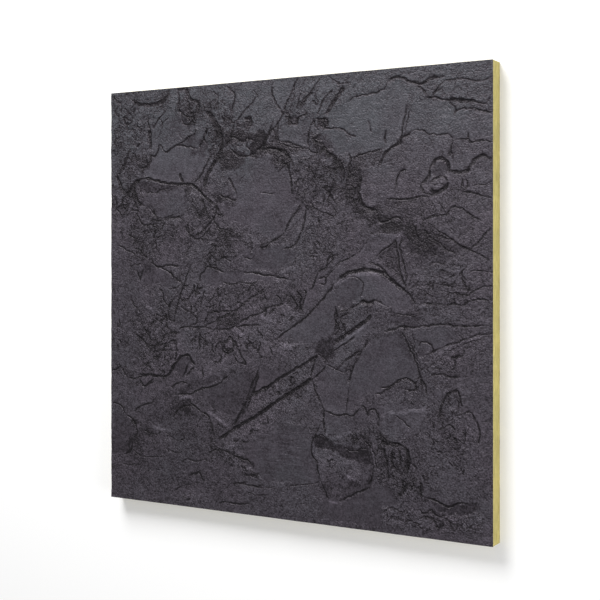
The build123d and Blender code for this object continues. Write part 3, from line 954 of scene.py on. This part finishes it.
def smooth_line(points, pieces=6):
    """Points along a smooth curve through the given ones: each stretch is the cubic that leaves and meets
    its ends with half the difference between the places on either side of them."""
    places = np.array(points, float)
    places = np.vstack([2 * places[0] - places[1], places, 2 * places[-1] - places[-2]])
    before, start, end, after = (places[k : len(places) - 3 + k, None] for k in range(4))
    t = np.linspace(0, 1, pieces, endpoint=False)[None, :, None]
    curve = 0.5 * (
        2 * start
        + (end - before) * t
        + (2 * before - 5 * start + 4 * end - after) * t**2
        + (3 * start - before - 3 * end + after) * t**3
    )
    return np.vstack([curve.reshape(-1, 2), places[-2]])


def distance_to(line, x, y):
    """Distance of each place from the line, positive on its left, and its share of the way along it.
    For every straight piece the foot of the perpendicular is kept within the piece, and the nearest
    counts."""
    start = line[:-1]
    run = np.diff(line, axis=0)
    length = np.hypot(*run.T)
    to_x = x[..., None] - start[:, 0]
    to_y = y[..., None] - start[:, 1]
    foot = np.clip((to_x * run[:, 0] + to_y * run[:, 1]) / length**2, 0, 1)
    apart = np.hypot(to_x - foot * run[:, 0], to_y - foot * run[:, 1])
    nearest = apart.argmin(-1)[..., None]
    side = np.sign(run[:, 0] * to_y - run[:, 1] * to_x)
    share = (np.concatenate([[0], np.cumsum(length)])[:-1] + foot * length) / length.sum()
    pick = [np.take_along_axis(values, nearest, -1)[..., 0] for values in (apart, side, share)]
    return pick[0] * np.where(pick[1] < 0, -1, 1), pick[2]


def is_inside(ring, x, y):
    """Whether each place lies within a closed outline: a line from it to the right then crosses the outline
    an odd number of times."""
    never_zero = 1e-9
    inside = np.zeros(x.shape, bool)
    for (x0, y0), (x1, y1) in zip(ring[:-1], ring[1:]):
        crossed = (y0 > y) != (y1 > y)
        inside ^= crossed & (x < x0 + (y - y0) * (x1 - x0) / (y1 - y0 + never_zero))
    return inside


# How dark and how rough the stone is. Soft patches fade out round turned ellipses whose edges are frayed.
plain_roughness = 0.45
tone = np.zeros((samples, samples))
roughness = np.full((samples, samples), plain_roughness)
level = np.zeros((samples, samples))
patch_fray = 0.30 * cleft_noise(60, 14) + 0.20 * cleft_noise(14, 4)
patch_core, patch_rim = 0.6, 1.2  # shares of its size up to which a patch is full, and at which it is gone
for x, y, half_long, half_wide, turn, patch_tone, patch_rough in patches:
    out_x, out_y = turned(across - x, up - y, turn)
    out = np.hypot(out_x / half_long, out_y / half_wide) + patch_fray
    cover = 1 - smooth_step(patch_core, patch_rim, out)
    tone += patch_tone * cover
    roughness += (patch_rough - roughness) * cover

# Sheets and broken-out places fill their outlines, with a narrow, jagged edge
sheet_fray = 1.3 * cleft_noise(24, 3, falloff=1.2)
edge_outside, edge_inside = -2.2, 1.4  # where the edge starts and is complete, in mm inside the outline
for sheet_tone, sheet_rough, sheet_level, corners in sheets.values():
    ring = np.array(corners + corners[:1], float)
    area = window(ring)
    x, y = line_across[area], line_up[area]
    distance = np.abs(distance_to(ring, x, y)[0])
    depth_in = np.where(is_inside(ring, x, y), distance, -distance) + sheet_fray[area]
    cover = smooth_step(edge_outside, edge_inside, depth_in)
    tone[area] += sheet_tone * cover
    level[area] += sheet_level * cover
    roughness[area] += (sheet_rough - roughness[area]) * cover

# Two round dishes like thumb marks: middle, radius and depth. How deep they are at a place goes with the
# square root of the share of the radius that is left there.
thumb_marks = ((230, 169, 12.5, 0.7), (290, 168, 13, 0.6))
for x, y, radius, depth in thumb_marks:
    level -= depth * np.sqrt(np.clip(1 - np.hypot(line_across - x, line_up - y) / radius, 0, 1))

# Dark stone is darker still than its tone above
dark_gain = 1.5
tone = np.where(tone < 0, dark_gain * tone, tone)

# Rubble, which is all stone rougher than a limit, has small dark pits and pale chips
rubble_limit = 0.3
pit_tone, pit_depth = 0.26, 0.20
rubble = np.clip(roughness - rubble_limit, 0, 1)
pits = smooth_step(0.9, 1.7, cleft_noise(30, 4)) - 0.5 * smooth_step(1.1, 2.0, cleft_noise(24, 4))
tone -= pit_tone * pits * rubble
level -= pit_depth * pits * rubble

# Short stray cracks through the rubble: each walks off from a rough place and turns a little at every step
stray_count = 420
stray_step = 4.5  # in mm
stray_turn = 0.55  # spread of its turns, in radians
stray_margin = 4.0  # none starts nearer than this to the sheet's sides
stray_kinds = ["hairline", "hairline", "crack", "ledge", "drop"]
strays = []
while len(strays) < stray_count:
    spot_x, spot_y = rng.uniform(stray_margin - half_side, half_side - stray_margin, 2)
    heading = rng.uniform(0, 2 * math.pi)
    points = [(spot_x, spot_y)]
    for _ in range(rng.integers(2, 5)):
        heading += rng.normal(0, stray_turn)
        spot_x += stray_step * math.cos(heading)
        spot_y += stray_step * math.sin(heading)
        points.append((spot_x, spot_y))
    places = np.clip(np.searchsorted(axis, np.array(points)), 0, samples - 1)
    if (roughness[places[:, 1], places[:, 0]] > rng.uniform(0.5, 1.0)).all():
        strays.append((str(rng.choice(stray_kinds)), points))

# Relief of the lines, and the layers of lines from which the material draws each crack sharply. A line
# goes to the first layer where no other line comes within twice the guard of it, or else to none.
groove_reach = 0.9  # half width of the groove in the mesh, as a share of the line's width
groove_share = 0.75  # of the line's depth, in the mesh
groove_power = 1.5  # above 1, the groove is pointed at its bottom
end_power = 8  # the higher, the shorter the stretch in which a line fades out at its ends
step_share = 0.6  # of the line's step, to each side of it
step_slope = 0.9  # how far the step takes to rise, in mm
step_run = 7.0  # how far from the line it has mostly died away, in mm
guard = 4.6
full_band = 2.8  # a layer holds the line's full depth up to this distance, and none at the guard
layer_count = 14
far_away = 9.0  # the distance that a layer holds where it has no line
layer_distance = np.full((layer_count, samples, samples), far_away)
layer_width = np.zeros((layer_count, samples, samples))
layer_depth = np.zeros((layer_count, samples, samples))
for kind, points in [entry for group in lines.values() for entry in group] + strays:
    width, depth, step = line_kinds[kind]
    curve = smooth_line(points)
    area = window(curve)
    distance, share = distance_to(curve, line_across[area], line_up[area])
    fade = (1 - (2 * share - 1) ** end_power) * depth_share[area]
    near = np.abs(distance)
    groove = np.clip(1 - near / (groove_reach * width), 0, 1)
    level[area] -= groove_share * depth * fade * groove**groove_power
    level[area] += step_share * step * fade * np.tanh(distance / step_slope) * np.exp(-near / step_run)
    drawn_depth = depth * fade * (1 - smooth_step(full_band, guard, near))
    for layer in range(layer_count):
        if not layer_depth[layer][area][near < guard].any():
            closer = near < np.abs(layer_distance[layer][area])
            layer_distance[layer][area][closer] = distance[closer]
            layer_width[layer][area][closer] = 0.5 * width
            layer_depth[layer][area][closer] = drawn_depth[closer]
            break

# Cleft grain: broad waves, thin terraces along the contours of a rougher noise, and crumbled stone. All but
# the waves are stronger where the stone is rough.
terrace_count = 2.6
tread_end, riser_end = 0.40, 0.60  # shares of a terrace's run between which it climbs to the next one
cleft = terrace_count * cleft_noise(70, 4, stretch=1.5, turn=25, falloff=1.45)
terrace = np.floor(cleft) + smooth_step(tread_end, riser_end, cleft - np.floor(cleft))
level += 0.12 * cleft_noise(220, 60)
level += (0.02 + 0.13 * roughness) * soften(terrace, 1)
level += (0.01 + 0.07 * roughness) * cleft_noise(14, 3.2, falloff=0.8)
level += (0.01 + 0.06 * roughness) * cleft_noise(6, 2.2, falloff=0.4)


def bell_over(x, y, reach_across, reach_up):
    """1 at one place of the face and dying away from it: e to the power of minus the sum of the squares of
    how many reaches a place is from it in the two directions."""
    return np.exp(-(((across - x) / reach_across) ** 2) - ((up - y) / reach_up) ** 2)


# Fine ripples across the smooth ground at the bottom, and thin flakes in rows to the left of it
ripple_cover = bell_over(-5, -195, 90, 60)
level += 0.10 * ripple_cover * cleft_noise(9, 3.6, stretch=5, turn=4, falloff=0.6)
level += 0.12 * bell_over(-190, -235, 110, 50) * cleft_noise(10, 2.6, stretch=4, turn=3, falloff=0.8)

# The highest stone lies just under the sheet's top, and the lowest stays above its back
top_room = 0.03
peak_share = 99.6  # percentage of the stone that is left as it is; what stands higher is pressed down
peak_rise = 0.02
least_sheet = 0.25  # thinnest that the sheet gets
level = soften(level, 1)
level = level - np.percentile(level, peak_share)
level = -top_room + np.where(level > 0, peak_rise * np.tanh(level / peak_rise), level)
level = np.maximum(level, least_sheet - sheet_thickness)

# Painted shade and light: low ground is painted darker than what stands round it, and raised ground paler
ground_shade = 0.45
lowest_counted, highest_counted = -0.6, 0.35
surroundings = soften(level, 72)
tone += ground_shade * np.clip(soften(level, 2) - surroundings, lowest_counted, highest_counted)
tone += 0.04 * cleft_noise(90, 18) + 0.03 * cleft_noise(18, 5)

# Embossed facing: mesh
# The relief is the top of the sheet. Its four cut sides drop straight to a flat back, and at its
# vertices the mesh holds what the material needs: tone, roughness, contours, ripples and cracks.
sharp_turn = math.radians(50)


def add_piece(name, points, faces):
    """A smooth-shaded object at the origin, with a sharp edge wherever its surface turns by more than
    sharp_turn."""
    mesh = bpy.data.meshes.new(name)
    mesh.from_pydata(points.tolist(), [], faces)
    mesh.polygons.foreach_set("use_smooth", [True] * len(faces))
    mesh.set_sharp_from_angle(angle=sharp_turn)
    piece = bpy.data.objects.new(name, mesh)
    bpy.context.collection.objects.link(piece)
    return piece


def quads(first, second, third, fourth):
    """Faces with four corners, from four arrays of vertex numbers."""
    return np.stack([corner.ravel() for corner in (first, second, third, fourth)], -1).tolist()


grid = np.s_[::samples_per_cell, ::samples_per_cell]
count = cells + 1
top = np.stack([across[grid], up[grid], facing_high.z / mm + level[grid]], -1).reshape(-1, 3) * mm
index = np.arange(count * count).reshape(count, count)
faces = quads(index[:-1, :-1], index[:-1, 1:], index[1:, 1:], index[1:, :-1])
rim = np.concatenate([index[0, :-1], index[:-1, -1], index[-1, :0:-1], index[:0:-1, 0]])
back = top[rim].copy()
back[:, 2] = facing_low.z
under = count * count + np.arange(len(rim))
faces += quads(rim, under, np.roll(under, -1), np.roll(rim, -1))
faces.append(under[::-1].tolist())
facing = add_piece("slate_facing", np.vstack([top, back]), faces)
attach(facing, "root")
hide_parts("embossed_facing")


def add_values(mesh, name, values, kind="FLOAT"):
    """Stores one value or vector for each vertex of the relief; the sheet's back has zeros."""
    attribute = mesh.attributes.new(name, kind, "POINT")
    size = 1 if kind == "FLOAT" else 3
    stored = np.zeros((len(mesh.vertices), size), np.float32)
    stored[: count * count] = values[grid].reshape(-1, size)
    attribute.data.foreach_set("value" if size == 1 else "vector", stored.ravel())


add_values(facing.data, "tone", tone)
add_values(facing.data, "roughness", roughness)
add_values(facing.data, "cleft", cleft)
add_values(facing.data, "ripples", ripple_cover)
for layer in range(layer_count):
    stacked = np.stack([layer_distance[layer], layer_width[layer], layer_depth[layer]], -1)
    add_values(facing.data, f"cracks_{layer}", stacked, "FLOAT_VECTOR")

# Embossed facing: material
# Charcoal plastic-coated sheet with a satin sheen. The cracks, fine webs and scarps are darkened with
# painted shade, the crests of lips are made paler with a painted highlight, and a fine stone grain covers
# everything.
mauve_slate = (0.0432, 0.0372, 0.0464, 1)
blue_slate = (0.0380, 0.0396, 0.0457, 1)
sheen_tint = (1.0, 0.9, 1.0, 1)


def place(tree, kind, inputs=(), **settings):
    """Adds a node, with its settings, and gives each input a plain value or another node's output."""
    node = tree.nodes.new(kind)
    for name, value in settings.items():
        setattr(node, name, value)
    for name, value in dict(inputs).items():
        if isinstance(value, bpy.types.NodeSocket):
            tree.links.new(value, node.inputs[name])
        else:
            node.inputs[name].default_value = value
    return node


def figure(tree, operation, *values):
    """The result of a Math node on up to three values or outputs."""
    return place(tree, "ShaderNodeMath", dict(enumerate(values)), operation=operation).outputs[0]


def ramp(tree, value, from_low, from_high, to_low, to_high, smooth=True):
    """Carries one range of values over to another and holds it there outside the range."""
    settings = {"interpolation_type": "SMOOTHSTEP" if smooth else "LINEAR"}
    ranges = {"From Min": from_low, "From Max": from_high, "To Min": to_low, "To Max": to_high}
    return place(tree, "ShaderNodeMapRange", {"Value": value, **ranges}, **settings).outputs["Result"]


def noise(tree, where, scale, detail, sharp=0.5, distortion=0.0):
    """A Noise Texture, with its waves about 1 / scale long in the units of where."""
    values = {"Vector": where, "Scale": scale, "Detail": detail, "Roughness": sharp, "Distortion": distortion}
    return place(tree, "ShaderNodeTexNoise", values).outputs["Fac"]


def streaked(tree, where, scale):
    """Places with each direction multiplied by its own scale, for waves that are longer one way."""
    return place(tree, "ShaderNodeMapping", {"Vector": where, "Scale": scale}).outputs["Vector"]


def centred(tree, value):
    """A value between 0 and 1, less 0.5."""
    return figure(tree, "SUBTRACT", value, 0.5)


def from_contour(tree, value):
    """How far a value is from the nearest contour, with one contour midway between whole numbers."""
    return figure(tree, "ABSOLUTE", centred(tree, figure(tree, "FRACT", value)))


def scaled_by(tree, value, measure, gain, least):
    """The value times (gain times the measure, plus least)."""
    return figure(tree, "MULTIPLY", value, figure(tree, "MULTIPLY_ADD", measure, gain, least))


def shaded(tree, color, shade):
    """A colour made darker or paler."""
    scaled = place(tree, "ShaderNodeVectorMath", {0: color, "Scale": shade}, operation="SCALE")
    return scaled.outputs["Vector"]


def stored(tree, name, output="Fac"):
    """What the mesh holds under a name."""
    return place(tree, "ShaderNodeAttribute", attribute_name=name).outputs[output]


def new_material(name):
    """A material with nothing in it, and its tree."""
    material = bpy.data.materials.new(name)
    material.use_nodes = True
    material.node_tree.nodes.clear()
    return material, material.node_tree


# One layer of cracks, drawn sharply. Line holds the distance from the nearest line, its half width and its
# depth, and Jag pushes the crack aside. A crack is full within 0.4 of its half width and ends at 1.6 of it.
thinnest = 0.4  # half width, in mm
crack_group = bpy.data.node_groups.new("sharp_crack", "ShaderNodeTree")
crack_group.interface.new_socket("Line", in_out="INPUT", socket_type="NodeSocketVector")
crack_group.interface.new_socket("Jag", in_out="INPUT", socket_type="NodeSocketFloat")
crack_group.interface.new_socket("Depth", in_out="OUTPUT", socket_type="NodeSocketFloat")
crack_input = crack_group.nodes.new("NodeGroupInput").outputs
crack_parts = place(crack_group, "ShaderNodeSeparateXYZ", {"Vector": crack_input["Line"]}).outputs
crack_side = figure(crack_group, "ADD", crack_parts["X"], crack_input["Jag"])
crack_half = figure(crack_group, "MAXIMUM", crack_parts["Y"], thinnest)
crack_share = figure(crack_group, "DIVIDE", figure(crack_group, "ABSOLUTE", crack_side), crack_half)
crack_profile = ramp(crack_group, crack_share, 0.4, 1.6, 1.0, 0.0)
crack_depth = figure(crack_group, "MULTIPLY", crack_profile, crack_parts["Z"])
place(crack_group, "NodeGroupOutput", {"Depth": crack_depth})

slate, tree = new_material("slate_facing")
spot = place(tree, "ShaderNodeTexCoord").outputs["Object"]
tone_value = stored(tree, "tone")
rough_value = stored(tree, "roughness")
ripple_value = stored(tree, "ripples")
grain = noise(tree, spot, 470, 1.5, 0.6)
pebble = noise(tree, spot, 110, 3.0, 0.6)
web = noise(tree, spot, 34, 2.5, 0.55, 0.8)
mottle = noise(tree, spot, 14, 4.0, 0.6)
ripple = noise(tree, streaked(tree, spot, (60, 320, 60)), 1.0, 3.0)

jag = figure(tree, "MULTIPLY_ADD", pebble, 3.0, -1.5)
cracks = 0.0
for layer in range(layer_count):
    layer_inputs = {"Line": stored(tree, f"cracks_{layer}", "Vector"), "Jag": jag}
    drawn = place(tree, "ShaderNodeGroup", layer_inputs, node_tree=crack_group)
    cracks = figure(tree, "ADD", cracks, drawn.outputs["Depth"])

# Rough stone also has a web of fine cracks, and small scarps along the contours of the terraces
web_line = ramp(tree, from_contour(tree, figure(tree, "MULTIPLY", web, 4.0)), 0.0, 0.16, 1.0, 0.0)
web_depth = figure(tree, "MULTIPLY", web_line, ramp(tree, rough_value, 0.3, 1.1, 0.05, 1.0))
contour = figure(tree, "MULTIPLY_ADD", pebble, 0.5, stored(tree, "cleft"))
scarp_line = ramp(tree, from_contour(tree, contour), 0.0, 0.2, 1.0, 0.0)
scarp = figure(tree, "MULTIPLY", scarp_line, ramp(tree, rough_value, 0.2, 1.1, 0.05, 1.0))

# Height of the fine relief in millimetres, for the bump
grain_height = scaled_by(tree, grain, rough_value, 1.5, 0.5)
pebble_height = scaled_by(tree, pebble, rough_value, 1.5, 0.2)
height = figure(tree, "ADD", grain_height, pebble_height)
height = figure(tree, "SUBTRACT", height, cracks)
height = figure(tree, "MULTIPLY_ADD", web_depth, -0.45, height)
height = figure(tree, "MULTIPLY_ADD", scarp, -0.35, height)
height = figure(tree, "ADD", scaled_by(tree, ripple, ripple_value, 1.0, 0.25), height)
normal = place(tree, "ShaderNodeBump", {"Height": height, "Distance": mm, "Strength": 1.0}).outputs["Normal"]

# How pale the stone is: its tone, soft mottling, speckles and ripples, less the painted shade in the cracks,
# webs and scarps, with a painted highlight on the crests of lips
darkest = 0.15
shade = figure(tree, "MULTIPLY_ADD", tone_value, 1.7, 1.0)
shade = figure(tree, "MULTIPLY_ADD", centred(tree, mottle), 0.2, shade)
# The ripples' pale and dark stripes follow their bump: painted light and shade
ripple_shade = figure(tree, "MULTIPLY", centred(tree, ripple), ripple_value)
shade = figure(tree, "MULTIPLY_ADD", ripple_shade, 1.2, shade)
# The speckles follow the grain's bump, paler on its crests and darker in its hollows: partly the stone's own
# speckle and partly painted light and shade
speckle = scaled_by(tree, centred(tree, grain), rough_value, 3.8, 1.9)
shade = figure(tree, "MAXIMUM", figure(tree, "ADD", shade, speckle), darkest)
# Painted shade darkens the cracks nearly to black, and the fine webs and scarps; a painted highlight makes
# the crest of a lip paler
for depth, shallow, deep, shallow_shade, deep_shade in (
    (cracks, 0.08, 0.55, 1.0, 0.15),
    (cracks, -0.35, 0.0, 1.6, 1.0),  # painted highlight on the crest of a lip
    (web_depth, 0.0, 1.0, 1.0, 0.50),
    (scarp, 0.0, 1.0, 1.0, 0.40),
):
    left_over = ramp(tree, depth, shallow, deep, shallow_shade, deep_shade, smooth=False)
    shade = figure(tree, "MULTIPLY", shade, left_over)

# The stone is mauve where it is dark, painted shade included, and bluer in blotches and towards the top of
# the face
height_on_face = place(tree, "ShaderNodeSeparateXYZ", {"Vector": spot}).outputs["Y"]
blue_top = ramp(tree, height_on_face, 0.10, 0.30, 0.0, 0.8)
blue_share = figure(tree, "MULTIPLY_ADD", mottle, 1.6, figure(tree, "SUBTRACT", blue_top, 0.6))
blue_share = figure(tree, "MULTIPLY_ADD", ramp(tree, shade, 0.2, 1.0, 1.0, 0.0), -1.2, blue_share)
slate_inputs = {"Factor": blue_share, "A": mauve_slate, "B": blue_slate}
slate_mix = place(tree, "ShaderNodeMix", slate_inputs, data_type="RGBA", clamp_factor=True)
gloss = figure(tree, "MULTIPLY_ADD", grain, 0.2, figure(tree, "MULTIPLY_ADD", rough_value, 0.06, 0.28))
slate_shader = place(
    tree,
    "ShaderNodeBsdfPrincipled",
    {
        "Base Color": shaded(tree, slate_mix.outputs["Result"], shade),
        "Roughness": gloss,
        "Normal": normal,
        "IOR": 1.45,
        "Specular IOR Level": 0.38,
        "Specular Tint": sheen_tint,
    },
)
place(tree, "ShaderNodeOutputMaterial", {"Surface": slate_shader.outputs["BSDF"]})
facing.data.materials.append(slate)

# Glass wool core
# A board of bonded yellow glass wool. Its fibres lie in layers parallel to the face, which show as
# streaks on the four sawn edges, and its bare back is a felted tangle.
core_low, core_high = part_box("glass_wool_core")
core_half = core_high.x / mm
core_height = (core_high.z - core_low.z) / mm
round_count = 1200  # vertices round the board
side_rows = 22  # rows of faces down its sides
back_rings = 30  # rings of faces across its back
edge_recess = 0.45  # deepest that a torn fibre layer sits in from the cut plane, in mm
back_recess = 0.25  # deepest that the back's tangle sits in, in mm
bottom_rise = 0.15  # of the lower edge above the back, in mm
innermost = 0.02  # size of the smallest ring as a share of the board
dark_wool = (0.33, 0.265, 0.065, 1)
pale_wool = (0.64, 0.56, 0.205, 1)
along = np.linspace(-1, 1, round_count // 4, endpoint=False)
ones = np.ones(round_count // 4)
sides = ((along, -ones), (ones, along), (-along, ones), (-ones, -along))
square = np.concatenate([np.stack(side, -1) for side in sides])


def streak_noise(rows, columns, across_waves, along_waves):
    """Random streaks on a band that closes on itself: white noise with its short waves taken out, more of
    them along the band than across it."""
    frequency_across = np.fft.fftfreq(rows)[:, None] * rows
    frequency_along = np.fft.fftfreq(columns)[None, :] * columns
    weight = np.exp(-((frequency_across / across_waves) ** 2) - (frequency_along / along_waves) ** 2)
    return weighted_noise(weight)


streak_rows = 64  # more than the sides have, because the noise's last row joins its first
streaks = 0.6 * streak_noise(streak_rows, round_count, 24, 60)
streaks = streaks + 0.4 * streak_noise(streak_rows, round_count, 24, 400)
recess = edge_recess * np.clip(0.45 + 0.25 * streaks[: side_rows + 1], 0, 1)
recess[0] = 0.0
side = np.empty((side_rows + 1, round_count, 3))
side[..., :2] = square[None] * (core_half - recess[..., None])
side[..., 2] = (core_low.z / mm + core_height * np.linspace(1, 0, side_rows + 1))[:, None]
side[-1, :, 2] += bottom_rise
inward = np.linspace(1, innermost, back_rings + 1)[1:]
tangle = streak_noise(back_rings, round_count, 10, 90)
back_face = np.empty((back_rings, round_count, 3))
back_face[..., :2] = square[None] * (core_half - edge_recess) * inward[:, None, None]
back_face[..., 2] = core_low.z / mm + back_recess * np.clip(0.5 + 0.3 * tangle, 0, 1)
ring_points = np.concatenate([side, back_face]).reshape(-1, 3)
middle_points = [[0, 0, core_high.z / mm], [0, 0, core_low.z / mm]]
ring_index = np.arange(len(ring_points)).reshape(-1, round_count)
following = np.roll(ring_index, -1, axis=1)
core_faces = quads(ring_index[:-1], ring_index[1:], following[1:], following[:-1])
top_middle = np.full(round_count, len(ring_points))
core_faces += np.stack([top_middle, ring_index[0], following[0]], -1).tolist()
core_faces += np.stack([top_middle + 1, following[-1], ring_index[-1]], -1).tolist()
core = add_piece("glass_wool_board", np.concatenate([ring_points, middle_points]) * mm, core_faces)
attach(core, "root")
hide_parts("glass_wool_core")

wool, tree = new_material("glass_wool")
spot = place(tree, "ShaderNodeTexCoord").outputs["Object"]
layers = noise(tree, streaked(tree, spot, (60, 60, 1400)), 1.0, 4.0)
felt = noise(tree, streaked(tree, spot, (420, 420, 420)), 1.0, 4.0, distortion=1.5)
blotch = noise(tree, spot, 30.0, 3.0)
surface_normal = place(tree, "ShaderNodeNewGeometry").outputs["Normal"]
facing_z = place(tree, "ShaderNodeSeparateXYZ", {"Vector": surface_normal}).outputs["Z"]
on_back = ramp(tree, figure(tree, "ABSOLUTE", facing_z), 0.5, 0.8, 0.0, 1.0)
wool_inputs = {"Factor": on_back, "A": layers, "B": felt}
fibre = place(tree, "ShaderNodeMix", wool_inputs, data_type="FLOAT").outputs["Result"]
wool_tint = place(tree, "ShaderNodeValToRGB", {"Fac": fibre})
for stop, position, color in zip(wool_tint.color_ramp.elements, (0.28, 0.68), (dark_wool, pale_wool)):
    stop.position = position
    stop.color = color
wool_color = shaded(tree, wool_tint.outputs["Color"], ramp(tree, blotch, 0.3, 0.7, 0.9, 1.08))
wool_bump = place(tree, "ShaderNodeBump", {"Height": fibre, "Distance": 0.8 * mm, "Strength": 0.8})
wool_shader = place(
    tree,
    "ShaderNodeBsdfPrincipled",
    {
        "Base Color": wool_color,
        "Normal": wool_bump.outputs["Normal"],
        "Roughness": 0.9,
        "Specular IOR Level": 0.2,
        "Sheen Weight": 0.15,
    },
)
place(tree, "ShaderNodeOutputMaterial", {"Surface": wool_shader.outputs["BSDF"]})
core.data.materials.append(wool)

# Floor
# A plain white floor that shows almost white to the camera and keeps the tile's shadow.
floor_half = 6.0
floor_white = (0.82, 0.82, 0.82, 1)
floor_lift = 0.2  # light of its own, which only the camera and reflections see
floor_mesh = bpy.data.meshes.new("floor")
floor_corners = [(x * floor_half, y * floor_half, 0) for x, y in ((-1, -1), (1, -1), (1, 1), (-1, 1))]
floor_mesh.from_pydata(floor_corners, [], [(0, 1, 2, 3)])
floor = bpy.data.objects.new("floor", floor_mesh)
bpy.context.collection.objects.link(floor)
floor_material, tree = new_material("floor")
rays = place(tree, "ShaderNodeLightPath").outputs
seen = figure(tree, "MAXIMUM", rays["Is Camera Ray"], rays["Is Glossy Ray"])
seen = figure(tree, "MAXIMUM", seen, rays["Is Transmission Ray"])
lift = place(tree, "ShaderNodeEmission", {"Strength": figure(tree, "MULTIPLY", seen, floor_lift)})
paint = place(tree, "ShaderNodeBsdfDiffuse", {"Color": floor_white})
both = place(tree, "ShaderNodeAddShader", {0: paint.outputs[0], 1: lift.outputs[0]})
place(tree, "ShaderNodeOutputMaterial", {"Surface": both.outputs[0]})
floor_mesh.materials.append(floor_material)

# Light
# Soft daylight from all round, and one large soft lamp beyond the top edge of the tile, a little to the
# left, which rakes across the relief. A weaker one on the right lights the yellow edge.
daylight = 0.34
lamp_size = 1.2
world = bpy.data.worlds.new("studio")
bpy.context.scene.world = world
world.use_nodes = True
background = world.node_tree.nodes["Background"]
background.inputs["Color"].default_value = (1, 1, 1, 1)
background.inputs["Strength"].default_value = daylight
for name, spot_at, watts in (("key", (-0.55, 1.75, 1.35), 68), ("edge_fill", (1.8, -0.4, 0.7), 19)):
    lamp_data = bpy.data.lights.new(name, "AREA")
    lamp_data.shape = "SQUARE"
    lamp_data.size = lamp_size
    lamp_data.energy = watts
    lamp = bpy.data.objects.new(name, lamp_data)
    lamp.location = spot_at
    lamp.rotation_euler = (-Vector(spot_at)).to_track_quat("-Z", "Y").to_euler()
    bpy.context.collection.objects.link(lamp)

# Camera
# The photograph's view, with the tile laid flat: the camera looks down on it, 30 degrees off
# square and from the right, so that the right-hand edge shows.
view_turn = math.radians(30.3)
camera_data = bpy.data.cameras.new("camera")
camera_data.sensor_width = 36.0
camera_data.lens = 70.3  # a focal length of about 1170 px in a picture 600 px wide
camera_data.shift_y = -0.073
camera = bpy.data.objects.new("camera", camera_data)
camera.location = (0.8263, 0.0581, 1.3952)
camera.rotation_euler = (0, view_turn, 0)
bpy.context.collection.objects.link(camera)
bpy.context.scene.camera = camera
bpy.context.scene.view_settings.view_transform = "Standard"
